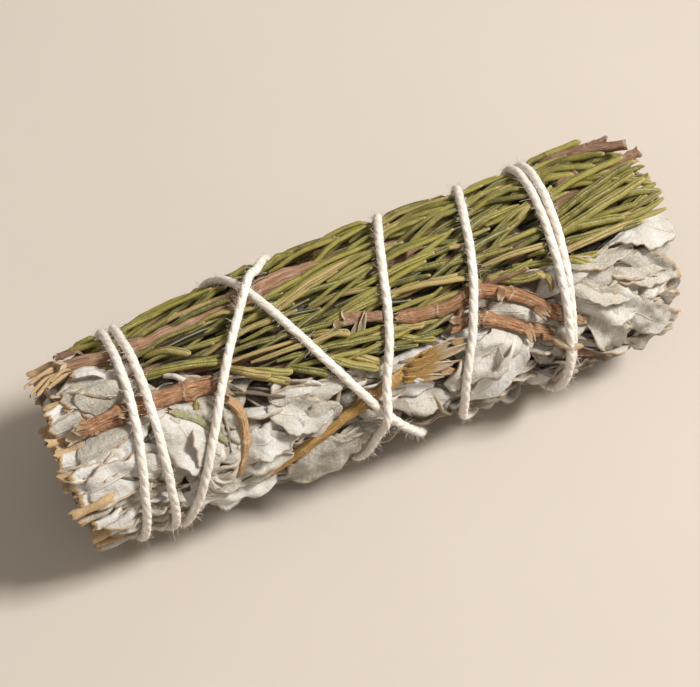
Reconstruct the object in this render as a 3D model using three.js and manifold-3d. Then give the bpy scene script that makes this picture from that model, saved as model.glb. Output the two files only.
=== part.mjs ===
// A bundle of dried sage leaves with rosemary laid along its upper back, wound over and back with cotton
// twine and lying on its side. Millimetres, +Z up. The bundle's axis runs along X, with the leafy tips at +X
// and the cut stalks at -X.
//
// Everything on the bundle is placed by three bundle coordinates: x along the axis, an angle in degrees round
// it (0 on top, 90 at the front, 180 underneath, 270 at the back) and a radius from the axis. The herbs' skin
// is the radius to which the twine presses them.
import * as THREE from "three";
import Module from "manifold-3d";

const wasm = await Module();
wasm.setup();

// Driving sizes
const AXIS_HEIGHT = 19.6;
const SKIN_RADIUS = 18.3;
const SKIN_LOSS_LEFT = 0.9;
const SKIN_LOSS_RIGHT = 0.3;
const BACK_LOSS_LEFT = 2;
const BACK_MIDDLE = -75;
const UNDERSIDE_SKIN = 17.2;
const UNDERSIDE_REACH = 20;
const BULGE = 1.5;
const TWINE_RADIUS = 0.83;
const GAP = 0.3;
const SMALLEST_EDGE = 0.075;
const CORE_LEFT = -52;
const CORE_RIGHT = 49;
const UNDERSIDE_DROP = 4;
const ROSEMARY_DEPTH = 5.2;
const ROSEMARY_BACK = -95;
const ROSEMARY_MARGIN = 3;
const NEEDLE_RADIUS = 0.72;

// Millimetres of skin in one degree round the axis
const ARC = (SKIN_RADIUS * Math.PI) / 180;

// The edge between rosemary and sage on the front: x, angle
const ROSEMARY_FRONT = [
  [-62, -8], [-50, -6], [-46, 1], [-38, 8], [-30, 15], [-25, 23], [-19, 33], [-13, 41], [-5, 43], [3, 46],
  [8, 43], [13, 38], [19, 25], [25, 24], [32, 27], [37, 27], [42, 34], [47, 29], [55, 15], [62, 12],
];

// The line of the thick rosemary stem that shows along the top: x, angle
const MAIN_STEM = [
  [-58, -34], [-50, -28], [-43, -20], [-36, -17], [-27, -22], [-18, -23], [-9, -31],
  [1, -31], [20, -30], [40, -28], [60, -26],
];

// The twine's route, from the knot on the back to the right end, over to the left end and back: x, angle
// (falling all the way, 360 a turn) and lift above the skin where it rides over an earlier strand
const TWINE_ROUTE = [
  [37.2, 226, 0], [37, 200, 0], [36.2, 160, 0], [34.2, 117, 0], [34.6, 90, 0], [35, 65, 0], [36.3, 38, 0],
  [37.8, 12, 0], [39.2, -15, 0], [40.9, -57, 0], [41.2, -80, 0], [40.5, -96, 0], [37.2, -109, 0],
  [26, -125, 0], [14, -141, 0], [9.6, -172, 0], [6.7, -215, 0], [6.4, -243, 0], [-3.3, -295, 0],
  [-10.9, -337, 0], [-15.4, -369, 0], [-18.6, -404, 0], [-20, -420, 0], [-22, -440, 0], [-27.5, -460, 0],
  [-36, -480, 0], [-43, -500, 0], [-46.6, -525, 0], [-47.2, -550, 0], [-47.2, -575, 0], [-46.6, -616, 0],
  [-45.5, -651, 0], [-43.4, -687, 0], [-42.4, -710, 0], [-41.8, -744, 0], [-41.3, -775, 0],
  [-41.6, -805, 0], [-42.2, -832, 0], [-42.5, -844, 0.2], [-42.8, -853, 1.9], [-43.2, -868, 1.9],
  [-43.3, -882, 0.2], [-43.2, -900, 0], [-42.6, -930, 0], [-41.1, -972, 0], [-40.9, -1009, 0],
  [-40.1, -1048, 0], [-39.6, -1074, 0], [-39.5, -1104, 0], [-38.9, -1140, 0], [-38.1, -1168, 0],
  [-37.7, -1181, 0.2], [-37.4, -1194, 1.9], [-37, -1211, 1.9], [-36.7, -1225, 0.2], [-36.6, -1250, 0],
  [-37.4, -1290, 0], [-39.1, -1323, 0], [-35, -1367, 0], [-28.6, -1407, 0], [-22.8, -1434, 0],
  [-19.9, -1446, 0.2], [-17.2, -1455.5, 1.9], [-15.3, -1463, 1.9], [-12.9, -1475, 0.3], [-10.4, -1490, 0],
  [-8.6, -1504, 0], [-7.4, -1522, 0], [-6.6, -1545, 0], [-5, -1575, 0], [-4.4, -1610, 0],
  [-5.2, -1650, 0], [-5.7, -1683, 0], [-3.4, -1712, 0.2], [-1.9, -1727.6, 1.9], [-0.5, -1742, 0.2],
  [3, -1770, 0], [6.2, -1800, 0], [11.6, -1846, 0], [13.2, -1864, 0], [13.6, -1890, 0],
  [13.3, -1924, 0.1], [13.6, -1936, 1.9], [14, -1947, 1.9], [14.7, -1961, 0], [17.2, -1985, 0],
  [18.9, -2013, 0], [18.4, -2027, 0], [16.4, -2038, 0], [14.2, -2049, 0], [13.5, -2062, 0],
  [14.1, -2089, 0], [17.1, -2115, 0], [20.7, -2143, 0], [23.8, -2172, 0], [27.5, -2208, 0],
  [29, -2228, 0], [30.4, -2259, 0.3], [30.9, -2272, 1.95], [31.2, -2283, 1.95], [31.5, -2298, 0.2],
  [32.2, -2330, 0], [32.6, -2370, 0.6], [32.9, -2403, 1.3], [33.4, -2430, 1.3], [33.8, -2455, 1.3],
  [34.8, -2482, 1], [36, -2508, 0.4], [37.3, -2535, 0.1], [39, -2577, 0], [39.3, -2600, 0.1],
  [39.4, -2611, 1], [39.6, -2619, 1.9], [39.7, -2627, 1.7], [39.6, -2639, 0.3], [39.4, -2652, 0],
];
const STATION_SPACING = 6.9;
const TWINE_SIDES = 6;

// Bare twigs that show on the bundle: centreline as x, angle; then half width, half height, and how far the
// centreline lies below the skin
const TWIGS = [
  {
    name: "brown_twig_1", colour: 0x9a5f42, half: [1.75, 1.6], depth: 1.75,
    line: [[-55, 24.5], [-51.4, 22.5], [-45.1, 21], [-38, 21], [-32, 22], [-27, 24]],
  },
  {
    name: "brown_twig_2", colour: 0x96624a, half: [1.3, 1.3], depth: 1.4,
    line: [[5, 25], [10.6, 29], [15.6, 30], [20.6, 27.5], [25.3, 34], [29, 42.5], [33.4, 57], [38.5, 70]],
  },
  {
    name: "brown_twig_3", colour: 0x9a6648, half: [1.25, 1.25], depth: 1.35,
    line: [[13.5, 44], [17.3, 41], [23, 49.5], [27.2, 59.5], [32, 69]],
  },
  {
    name: "brown_twig_4", colour: 0x8c5f48, half: [0.95, 0.95], depth: 1.2,
    line: [[33, 80], [36.9, 94], [41, 112]],
  },
  {
    name: "golden_stem", colour: 0x9b6f2c, half: [1.3, 0.7], depth: 0.85,
    line: [[-24, 101], [-18.3, 88], [-10.8, 75], [-4.1, 66], [1.8, 59], [7.2, 54], [12, 54]],
  },
  {
    name: "tan_stem", colour: 0xc49a68, half: [0.8, 0.8], depth: 0.7,
    line: [[-27.3, 33], [-25.8, 43], [-26, 57], [-28.8, 85]],
  },
  {
    name: "grey_green_stem", colour: 0x9c9a70, half: [0.75, 0.75], depth: 0.85,
    line: [[-37, 29], [-32.4, 42], [-29.4, 59]],
  },
];

// Leaves placed by hand where they show most: base x and angle, tip x and angle, width
const PLACED_LEAVES = [
  [-38.5, 27, -35.2, 66, 8], [-31.7, 38, -33.3, 68, 6], [-34, 71, -20.5, 77, 4.5], [-36, 81, -22, 87, 5.5],
  [-38, 90, -23, 106, 7], [-26.5, 64, -17.5, 58, 6], [-19, 43, -8, 45, 5.5],
  [-20, 50, -12, 58, 6], [-16.5, 69, -10.5, 60, 5], [-18.5, 112, -7, 86, 8], [12, 74, 26.5, 55, 8],
  [15.5, 94, 27, 60, 6], [46, 16, 57, 34, 8], [42, 34, 54.5, 50, 5.5], [37, 27, 48, 34, 5],
  [36.5, 37, 47, 56, 8], [44, 44, 55, 56, 6], [37.5, 55, 47.5, 68, 7], [37, 42, 44, 108, 6],
  [44, 60, 54, 92, 7], [46, 104, 56, 114, 6], [-39, 16, -50, 8, 7], [-45, 33, -54, 47, 7],
  [-40, 55, -57, 58, 7],
];

// Leaves underneath that the bundle lies on, between the strands, in the same form
const RESTING_LEAVES = [
  [-50, 180, -57, 181, 14], [-32, 178, -11, 183, 16], [-1, 176, 5, 184, 12], [19.5, 181, 30, 178, 15],
  [40.5, 183, 56, 180, 15],
];
const PLACED_BODY = 2.4;
const COVER_BODY = 3.6;
const TIP_BODY = 1;
const COVER_ROWS = 7;
const COVER_COLUMNS = 5;
const END_TIPS = 8;
const END_STALKS = 12;
const SEED = 7;

// Rosemary sprigs, front to back: where the stem starts and ends, its radius at both ends, how far it lies
// below the skin at both ends
const SPRIGS = [
  { span: [-22, 50], radius: [0.8, 0.8], depth: [3, 3] },
  { span: [-33, 52], radius: [0.8, 0.8], depth: [3, 3] },
  { span: [-45, 57.5], radius: [0.8, 1], depth: [3.2, 2.2] },
  { span: [-51.6, 57.5], radius: [1.7, 1.1], depth: [1.9, 3] },
  { span: [-53, 52], radius: [1.1, 0.8], depth: [3, 3] },
  { span: [-52, 57], radius: [0.9, 1.1], depth: [3, 2.6] },
  { span: [-50, 51], radius: [0.8, 0.8], depth: [3, 3] },
  { span: [-49, 50], radius: [0.8, 0.8], depth: [3, 3] },
];
const NEEDLE_SPACING = 5.7;
const TRACKS = [-1, 0.9, 0];
const NEEDLE_LENGTH = [14, 19];
const FRONT_LANES = 3;
const LANE_STARTS = [-24, -34, -46];
const LANE_GROWTH = 14;

const rad = (degrees) => (degrees * Math.PI) / 180;
const smooth = (low, high, value) => THREE.MathUtils.smoothstep(value, low, high);
const lerp = THREE.MathUtils.lerp;

// The same draws each time
function makeDraw(seed) {
  let state = seed >>> 0;
  return (low, high) => {
    state = (Math.imul(state, 1664525) + 1013904223) >>> 0;
    return low + ((high - low) * state) / 4294967296;
  };
}

// A value read off a list of [x, value] pairs
function along(pairs, x) {
  const next = pairs.findIndex((pair) => pair[0] > x);
  if (next === 0) return pairs[0][1];
  if (next < 0) return pairs[pairs.length - 1][1];
  const [x0, y0] = pairs[next - 1];
  const [x1, y1] = pairs[next];
  return lerp(y0, y1, (x - x0) / (x1 - x0));
}

// The skin's radius: a little less towards the ends and at the back of the left end, pressed flat underneath
function skin(x, angle) {
  const backLoss = BACK_LOSS_LEFT * smooth(12, 38, -x) * smooth(0.3, 0.9, Math.cos(rad(angle - BACK_MIDDLE)));
  const round = SKIN_RADIUS - (x < 0 ? SKIN_LOSS_LEFT : SKIN_LOSS_RIGHT) * (x / 55) ** 2 - backLoss;
  const down = -Math.cos(rad(angle));
  return down > 0.5 ? Math.min(round, UNDERSIDE_SKIN / down) : round;
}

// A point in space from bundle coordinates
function place(x, angle, radius) {
  const turn = rad(angle);
  return new THREE.Vector3(x, -Math.sin(turn) * radius, AXIS_HEIGHT + Math.cos(turn) * radius);
}

// The shortest way round from one angle to another
const turnBetween = (a, b) => ((((a - b) % 360) + 540) % 360) - 180;

// A smooth line on the bundle through points of [x, angle, lift]
class BundleLine extends THREE.Curve {
  constructor(points, heightAbove) {
    super();
    const flat = points.map(([x, angle, lift = 0]) => new THREE.Vector3(x, angle * ARC, lift));
    this.flat = new THREE.CatmullRomCurve3(flat, false, "centripetal");
    this.heightAbove = heightAbove;
    this.stations = [0];
    for (let i = 0; i + 1 < flat.length; i++) {
      const pieces = Math.max(1, Math.round(flat[i].distanceTo(flat[i + 1]) / STATION_SPACING));
      for (let piece = 1; piece <= pieces; piece++) {
        this.stations.push((i + piece / pieces) / (flat.length - 1));
      }
    }
  }

  // Even steps land on the stations, so that each point of the list is met
  getUtoTmapping(u) {
    const place = u * (this.stations.length - 1);
    const before = Math.min(Math.floor(place), this.stations.length - 2);
    return lerp(this.stations[before], this.stations[before + 1], place - before);
  }

  getPoint(t, target = new THREE.Vector3()) {
    const { x, y, z } = this.flat.getPoint(t);
    const angle = y / ARC;
    return target.copy(place(x, angle, skin(x, angle) + this.heightAbove(t) + z));
  }
}

const twineLine = new BundleLine(TWINE_ROUTE, () => GAP + TWINE_RADIUS);
const strandPoints = twineLine.flat.getPoints(900);

// How far a place on the skin is from the nearest strand of twine
function strandGap(x, angle) {
  let nearest = Infinity;
  for (const p of strandPoints) {
    const dx = p.x - x;
    if (Math.abs(dx) > 6) continue;
    nearest = Math.min(nearest, Math.hypot(dx, turnBetween(p.y / ARC, angle) * ARC));
  }
  return nearest;
}

// How much a place is free of the twine's press, and how much it faces the surface below
const freedom = (x, angle) => smooth(1.2, 5, strandGap(x, angle));
const facingDown = (angle) => smooth(0.88, 0.95, -Math.cos(rad(angle)));

// The highest radius that herbs may reach: the skin under a strand, a low bulge between strands, and down to
// the surface underneath
function crown(x, angle) {
  const down = Math.max(0.5, -Math.cos(rad(angle)));
  const free = lerp(skin(x, angle) + BULGE, UNDERSIDE_REACH / down, facingDown(angle));
  return lerp(skin(x, angle) - 0.1, free, freedom(x, angle));
}

// Closed solids from points and triangles
function solidFrom(points, triangles) {
  const solid = new wasm.Manifold(
    new wasm.Mesh({
      numProp: 3,
      vertProperties: new Float32Array(points.flatMap((p) => [p.x, p.y, p.z])),
      triVerts: new Uint32Array(triangles),
    }),
  );
  return solid;
}

// Rings of equal length joined into a closed solid, each end shut by a strip between its two halves
function loft(rings) {
  const sides = rings[0].length;
  const points = rings.flat();
  const triangles = [];
  for (let ring = 0; ring + 1 < rings.length; ring++) {
    for (let side = 0; side < sides; side++) {
      const a = ring * sides + side;
      const b = ring * sides + ((side + 1) % sides);
      triangles.push(a, b, b + sides, a, b + sides, a + sides);
    }
  }
  const last = (rings.length - 1) * sides;
  for (let near = 0; near + 2 < sides - near; near++) {
    const far = sides - 1 - near;
    triangles.push(near, far, near + 1, last + near, last + near + 1, last + far);
    if (near + 1 === far - 1) continue;
    triangles.push(near + 1, far, far - 1, last + near + 1, last + far - 1, last + far);
  }
  return turnedOut(points, triangles);
}

// A blade with a grid of points on its top and the same grid on its underside, split into triangles alike
function bladeFrom(top, under) {
  const rows = top.length;
  const columns = top[0].length;
  const points = [...top.flat(), ...under.flat()];
  const below = rows * columns;
  const at = (row, column) => row * columns + column;
  const triangles = [];
  for (let row = 0; row + 1 < rows; row++) {
    for (let column = 0; column + 1 < columns; column++) {
      const [a, b] = [at(row, column), at(row, column + 1)];
      const [c, d] = [at(row + 1, column + 1), at(row + 1, column)];
      triangles.push(a, b, c, a, c, d);
      triangles.push(below + a, below + c, below + b, below + a, below + d, below + c);
    }
  }
  const rim = [];
  for (let column = 0; column < columns; column++) rim.push(at(0, column));
  for (let row = 1; row < rows; row++) rim.push(at(row, columns - 1));
  for (let column = columns - 2; column >= 0; column--) rim.push(at(rows - 1, column));
  for (let row = rows - 2; row > 0; row--) rim.push(at(row, 0));
  rim.forEach((a, index) => {
    const b = rim[(index + 1) % rim.length];
    triangles.push(a, below + a, below + b, a, below + b, b);
  });
  return turnedOut(points, triangles);
}

// The solid with its faces pointing out, whichever way round it was listed
function turnedOut(points, triangles) {
  const solid = solidFrom(points, triangles);
  if (solid.volume() > 0) return solid;
  const turned = [];
  for (let i = 0; i < triangles.length; i += 3) turned.push(triangles[i], triangles[i + 2], triangles[i + 1]);
  return solidFrom(points, turned);
}

// A three.js geometry as a solid
function solidOf(geometry) {
  const position = geometry.getAttribute("position");
  const seen = new Map();
  const points = [];
  const corner = (i) => {
    const p = new THREE.Vector3().fromBufferAttribute(position, i);
    const key = p.toArray().map((value) => value.toFixed(3)).join();
    if (!seen.has(key)) seen.set(key, points.push(p) - 1);
    return seen.get(key);
  };
  const count = geometry.index ? geometry.index.count : position.count;
  const triangles = [];
  for (let i = 0; i < count; i += 3) {
    const [a, b, c] = [0, 1, 2].map((k) => corner(geometry.index ? geometry.index.getX(i + k) : i + k));
    if (a !== b && b !== c && c !== a) triangles.push(a, b, c);
  }
  return turnedOut(points, triangles);
}

// A tube of an oval section along a line on the bundle; swell is added all round
function tube(line, halfWidth, halfHeight, sides, swell = 0) {
  const steps = line.stations.length - 1;
  const section = new THREE.Shape();
  for (let side = 0; side < sides; side++) {
    const turn = (side / sides) * 2 * Math.PI;
    const x = Math.cos(turn) * (halfHeight + swell);
    const y = Math.sin(turn) * (halfWidth + swell);
    if (side === 0) section.moveTo(x, y);
    else section.lineTo(x, y);
  }
  section.closePath();
  return solidOf(new THREE.ExtrudeGeometry(section, { extrudePath: line, steps, bevelEnabled: false }));
}

// Twigs keep their flat side to the bundle, so their rings are set out by angle and radius
function twig({ line, half, depth }, swell = 0) {
  const path = new BundleLine(line, () => 0);
  const steps = Math.max(3, Math.round(path.flat.getLength() / 5.5));
  const rings = [];
  for (let step = 0; step <= steps; step++) {
    const t = step / steps;
    const here = path.flat.getPointAt(t);
    const ahead = path.flat.getTangentAt(t);
    const reach = step === 0 ? -swell : step === steps ? swell : 0;
    const taper = 1 - 0.18 * Math.abs(2 * t - 1) ** 3;
    const ring = [];
    for (let side = 0; side < 6; side++) {
      const turn = (side / 6) * 2 * Math.PI;
      const across = Math.cos(turn) * (half[0] * taper + swell);
      const up = Math.sin(turn) * (half[1] * taper + swell);
      const x = here.x + ahead.x * reach - ahead.y * across;
      const angle = (here.y + ahead.y * reach + ahead.x * across) / ARC;
      ring.push(place(x, angle, skin(x, angle) - depth + up));
    }
    rings.push(ring);
  }
  return loft(rings);
}

const union = (solids) => wasm.Manifold.union(solids);

// The largest body of a solid, without loose scraps or shut hollows
function largest(solid) {
  const bodies = solid.simplify(SMALLEST_EDGE).decompose();
  return bodies.reduce((best, body) => (body.volume() > best.volume() ? body : best));
}

// The angles at which the rosemary's lanes start and end at x, front to back
function laneEdges(x) {
  const front = along(ROSEMARY_FRONT, x) - ROSEMARY_MARGIN;
  const stem = along(MAIN_STEM, x);
  const half = lerp(6, 8, smooth(-40, -10, x));
  const shares = LANE_STARTS.map((start) => smooth(start, start + LANE_GROWTH, x));
  const total = shares.reduce((sum, share) => sum + share, 0) + 1e-6;
  const edges = [front];
  for (const share of shares) edges.push(edges[edges.length - 1] - ((front - stem - half) * share) / total);
  edges[FRONT_LANES] = stem + half;
  const backLanes = SPRIGS.length - FRONT_LANES - 1;
  for (let lane = 0; lane <= backLanes; lane++) {
    edges.push(lerp(stem - half, ROSEMARY_BACK, lane / backLanes));
  }
  return edges;
}

// The middle of a lane and its half width in millimetres
function laneAt(lane, x) {
  const edges = laneEdges(x);
  return { middle: (edges[lane] + edges[lane + 1]) / 2, half: ((edges[lane] - edges[lane + 1]) / 2) * ARC };
}

// A point in a lane: side runs from -1 to 1 across the room that a needle has there
function inLane(lane, x, side, across, radius) {
  const { middle, half } = laneAt(lane, x);
  const room = Math.max(0, half - NEEDLE_RADIUS - 0.2);
  return place(x, middle + (side * room + across) / ARC, radius);
}

// One needle: three sides, from its foot in the stem to its blunt tip
function needle(lane, needleAt) {
  const { foot, length, side, rise, footDepth } = needleAt;
  const rings = [];
  for (const [part, spread, thick] of [[0, 0, 0.7], [0.4, 1, 1], [1, 0.92, 0.55]]) {
    const x = foot + length * part;
    const middle = laneAt(lane, x).middle;
    const high = Math.min(skin(x, middle) - rise, crown(x, middle) - NEEDLE_RADIUS);
    const radius = lerp(skin(x, middle) - footDepth, high, Math.min(1, part * 2.2));
    const ring = [];
    for (let corner = 0; corner < 3; corner++) {
      const turn = (corner / 3) * 2 * Math.PI + Math.PI / 2;
      const across = Math.cos(turn) * NEEDLE_RADIUS * thick;
      const up = Math.sin(turn) * NEEDLE_RADIUS * thick;
      ring.push(inLane(lane, x, side * spread, across, radius + up));
    }
    rings.push(ring);
  }
  return loft(rings);
}

// The needles of one sprig, from its own draws
function needlesOf(lane) {
  const draw = makeDraw(SEED + 100 * (lane + 1));
  const { span, depth } = SPRIGS[lane];
  const needles = [];
  for (let foot = span[0] + 1; foot < span[1] - 12; foot += NEEDLE_SPACING) {
    const length = Math.min(draw(...NEEDLE_LENGTH), 56 - foot);
    const side = TRACKS[needles.length % TRACKS.length] + draw(-0.1, 0.1);
    const rise = draw(0.72, 1);
    const footDepth = lerp(depth[0], depth[1], (foot - span[0]) / (span[1] - span[0]));
    needles.push({ foot, length, side, rise, footDepth });
  }
  return needles;
}

// A sprig: a woody stem down the middle of its lane, with needles on it
function sprig(lane) {
  const { span, radius, depth } = SPRIGS[lane];
  const steps = Math.round((span[1] - span[0]) / 9);
  const rings = [];
  for (let step = 0; step <= steps; step++) {
    const t = step / steps;
    const x = lerp(span[0], span[1], t);
    const { middle } = laneAt(lane, x);
    const thick = lerp(radius[0], radius[1], smooth(0.3, 0.6, t));
    const high = skin(x, middle) - lerp(depth[0], depth[1], smooth(0.3, 0.6, t));
    const ring = [];
    for (let side = 0; side < 5; side++) {
      const turn = (side / 5) * 2 * Math.PI;
      ring.push(place(x, middle + (Math.cos(turn) * thick) / ARC, high + Math.sin(turn) * thick));
    }
    rings.push(ring);
  }
  return union([loft(rings), ...needlesOf(lane).map((item) => needle(lane, item))]);
}

// Leaves stay out from under the rosemary: angles near its edges are eased back into the sage
function easeIntoSage(x, angle) {
  const room = 12;
  const front = along(ROSEMARY_FRONT, x) + 2;
  const back = ROSEMARY_BACK + 360 - 2;
  const fromFront = angle - front;
  if (fromFront < room) return front + room * Math.exp((fromFront - room) / room);
  const fromBack = back - angle;
  if (fromBack < room) return back - room * Math.exp((fromBack - room) / room);
  return angle;
}

// One waved leaf, from its base to its tip
function leafSolid(leaf) {
  const { x, angle, turn, length, width, depth, lift, fold, wave, body, skinLeaf } = leaf;
  const rows = 3;
  const top = [];
  const under = [];
  for (let row = 0; row <= rows; row++) {
    const u = row / rows;
    const half = (width / 2) * Math.sin(Math.PI * (0.14 + 0.78 * u)) ** 0.8;
    const upper = [];
    const lower = [];
    for (const column of [-1, 0, 1]) {
      const forward = (u - 0.5) * length;
      const side = column * half;
      const px = x + forward * Math.cos(turn) - side * Math.sin(turn);
      const arc = forward * Math.sin(turn) + side * Math.cos(turn);
      const own = Math.max(6, skin(px, angle) - depth);
      const wanted = angle + (arc / own) * (180 / Math.PI);
      const at = skinLeaf ? easeIntoSage(px, wanted) : wanted;
      const rise = lift * u + fold * Math.abs(column) + wave * Math.sin(u * 7 + column * 1.3);
      const settle = skinLeaf ? UNDERSIDE_DROP * facingDown(at) * freedom(px, at) : 0;
      const radius = Math.min(skin(px, at) - depth + rise + settle, crown(px, at));
      upper.push(place(px, at, radius));
      lower.push(place(px, at, radius - body - 0.7 * settle));
    }
    top.push(upper);
    under.push(lower);
  }
  return bladeFrom(top, under);
}

// The leaves placed by hand, then leaves that cover the rest in staggered rows, then tips out of the right end
function leafList() {
  const draw = makeDraw(SEED);
  const leaves = [...PLACED_LEAVES, ...RESTING_LEAVES].map(([baseX, baseAngle, tipX, tipAngle, width]) => {
    const arc = (tipAngle - baseAngle) * ARC;
    return {
      x: (baseX + tipX) / 2, angle: (baseAngle + tipAngle) / 2, turn: Math.atan2(arc, tipX - baseX),
      length: Math.hypot(tipX - baseX, arc) + 3, width, depth: 0.9, lift: 1, fold: draw(-0.7, 0.5),
      wave: draw(0.1, 0.4), body: PLACED_BODY, skinLeaf: true,
    };
  });
  for (let row = 0; row < COVER_ROWS; row++) {
    for (let column = 0; column < COVER_COLUMNS; column++) {
      const x = lerp(-41, 41, (column + 0.5 * (row % 2)) / (COVER_COLUMNS - 0.5)) + draw(-3, 3);
      const front = along(ROSEMARY_FRONT, x) + 6;
      const angle = lerp(front, ROSEMARY_BACK + 352, row / (COVER_ROWS - 1)) + draw(-4, 4);
      leaves.push({
        x, angle, turn: draw(-0.45, 0.45) + (draw(0, 1) < 0.2 ? Math.PI : 0), length: draw(22, 29),
        width: draw(10, 13), depth: draw(0.9, 1.9), lift: draw(0.8, 2), fold: draw(-1.2, 0.7),
        wave: draw(0.2, 0.6), body: COVER_BODY, skinLeaf: true,
      });
    }
  }
  for (let tip = 0; tip < END_TIPS; tip++) {
    leaves.push({
      x: 48 - draw(0, 3), angle: tip * 137.5, turn: draw(-0.25, 0.25), length: 17, width: draw(6, 9),
      depth: lerp(3, 13, Math.sqrt((tip + 0.5) / END_TIPS)), lift: 0, fold: draw(-0.8, 0.8), wave: 0.3,
      body: TIP_BODY, skinLeaf: false,
    });
  }
  return leaves;
}

// The dense inner mass: lower under the rosemary, a little uneven all over
function coreSolid() {
  const rings = [];
  const steps = 7;
  const sides = 18;
  for (let step = 0; step <= steps; step++) {
    const x = lerp(CORE_LEFT, CORE_RIGHT, step / steps);
    const ring = [];
    for (let side = 0; side < sides; side++) {
      const angle = (side / sides) * 360;
      const front = along(ROSEMARY_FRONT, x);
      const intoSage = Math.min((angle - front + 360) % 360, (ROSEMARY_BACK + 720 - angle) % 360);
      const inSage = smooth(0, 9, intoSage);
      const uneven = 0.5 * Math.sin(step * 2.3 + side * 1.7);
      const endLoss = step === 0 || step === steps ? 2 : 0;
      const depth = lerp(ROSEMARY_DEPTH + 0.6, 2.5, inSage) + uneven * inSage + endLoss;
      ring.push(place(x, angle, skin(x, angle) - depth));
    }
    rings.push(ring);
  }
  return loft(rings);
}

// The room along the upper back that the rosemary fills
function rosemaryRoom() {
  const steps = 11;
  const rings = ROSEMARY_FRONT.map(([x, front]) => {
    const inner = [];
    const outer = [];
    for (let step = 0; step <= steps; step++) {
      const angle = lerp(front, ROSEMARY_BACK - 1, step / steps);
      inner.push(place(x, angle, skin(x, angle) - ROSEMARY_DEPTH));
      outer.unshift(place(x, angle, SKIN_RADIUS + 8));
    }
    return [...inner, ...outer];
  });
  return loft(rings);
}

// Cut leaf stalks that stand out of the left end
function stalks() {
  const draw = makeDraw(SEED + 1);
  const list = [];
  for (let i = 0; i < END_STALKS; i++) {
    const angle = 20 + i * 137.5;
    const radius = 14.5 * Math.sqrt((i + 0.6) / END_STALKS);
    const reach = draw(2.5, 5.5);
    const thick = draw(0.8, 1.5);
    const lean = draw(-0.6, 0.6);
    const rings = [0, 1].map((end) => {
      const ring = [];
      for (let side = 0; side < 5; side++) {
        const turn = (side / 5) * 2 * Math.PI;
        const offset = new THREE.Vector3(0, Math.cos(turn) * thick, Math.sin(turn) * thick);
        const x = end ? CORE_LEFT - reach : CORE_LEFT + 4;
        ring.push(place(x, angle, radius + end * lean).add(offset));
      }
      return ring;
    });
    list.push(loft(rings));
  }
  return list;
}

// The knot where the twine's two ends meet, and its two short tails
function knotSolids() {
  const at = { x: 38.4, angle: 229 };
  const centre = place(at.x, at.angle, skin(at.x, at.angle) + GAP + 1.75);
  const ringOf = (radius, thick, tiltX, tiltY) => {
    const outline = new THREE.Path().absarc(radius, 0, thick, 0, 2 * Math.PI).getPoints(5);
    const geometry = new THREE.LatheGeometry(outline, 7);
    geometry.rotateX(tiltX);
    geometry.rotateY(tiltY);
    geometry.translate(centre.x, centre.y, centre.z);
    return solidOf(geometry);
  };
  const tails = [[[38.4, 231], [41.5, 238], [45.5, 240]], [[38.4, 231], [35.5, 240], [33.2, 252]]];
  return [
    ringOf(0.95, 0.72, 0.5, 0.3),
    ringOf(0.95, 0.72, 1.7, 0.9),
    ...tails.map((line) => tube(new BundleLine(line, (t) => GAP + 1.7 - 0.7 * t), 0.7, 0.7, 6)),
  ];
}

// A named mesh from a solid
function meshOf(name, solid, colour, roughness) {
  const { vertProperties, triVerts } = solid.getMesh();
  const geometry = new THREE.BufferGeometry();
  geometry.setAttribute("position", new THREE.BufferAttribute(vertProperties, 3));
  geometry.setIndex(new THREE.BufferAttribute(triVerts, 1));
  geometry.computeVertexNormals();
  const finish = new THREE.MeshStandardMaterial({ color: colour, roughness, metalness: 0 });
  const mesh = new THREE.Mesh(geometry, finish);
  mesh.name = name;
  return mesh;
}

const twineSolid = union([
  tube(twineLine, TWINE_RADIUS, TWINE_RADIUS, TWINE_SIDES),
  ...knotSolids(),
]);
const twineRoom = tube(twineLine, TWINE_RADIUS, TWINE_RADIUS, TWINE_SIDES, GAP);
const twigRooms = TWIGS.map((item) => twig(item, GAP));
const belowSurface = solidOf(new THREE.BoxGeometry(200, 100, 20).translate(0, 0, -10));

const sage = union([coreSolid(), ...leafList().map(leafSolid), ...stalks()])
  .subtract(union([rosemaryRoom(), twineRoom, belowSurface, ...twigRooms]));

const bundle = new THREE.Group();
bundle.add(meshOf("sage_leaves", largest(sage), 0xbdb9ae, 0.9));
SPRIGS.forEach((_, lane) => {
  const cut = sprig(lane).subtract(union([twineRoom, ...twigRooms]));
  bundle.add(meshOf(`rosemary_sprig_${lane + 1}`, largest(cut), 0x75783a, 0.75));
});
for (const item of TWIGS) bundle.add(meshOf(item.name, largest(twig(item)), item.colour, 0.85));
bundle.add(meshOf("cotton_twine", largest(twineSolid), 0xeee6dc, 0.9));

export default bundle;
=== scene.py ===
"""The looks of a bundle of dried sage and rosemary, tied with cotton twine and lying on its side.

Sizes are millimetres until a point is placed in space. Everything on the bundle is placed by x along its
axis, an angle in degrees round it (0 on top, 90 at the front, 180 underneath) and a radius from the axis.
The skin is the radius to which the twine presses the herbs.
"""
import math

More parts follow.
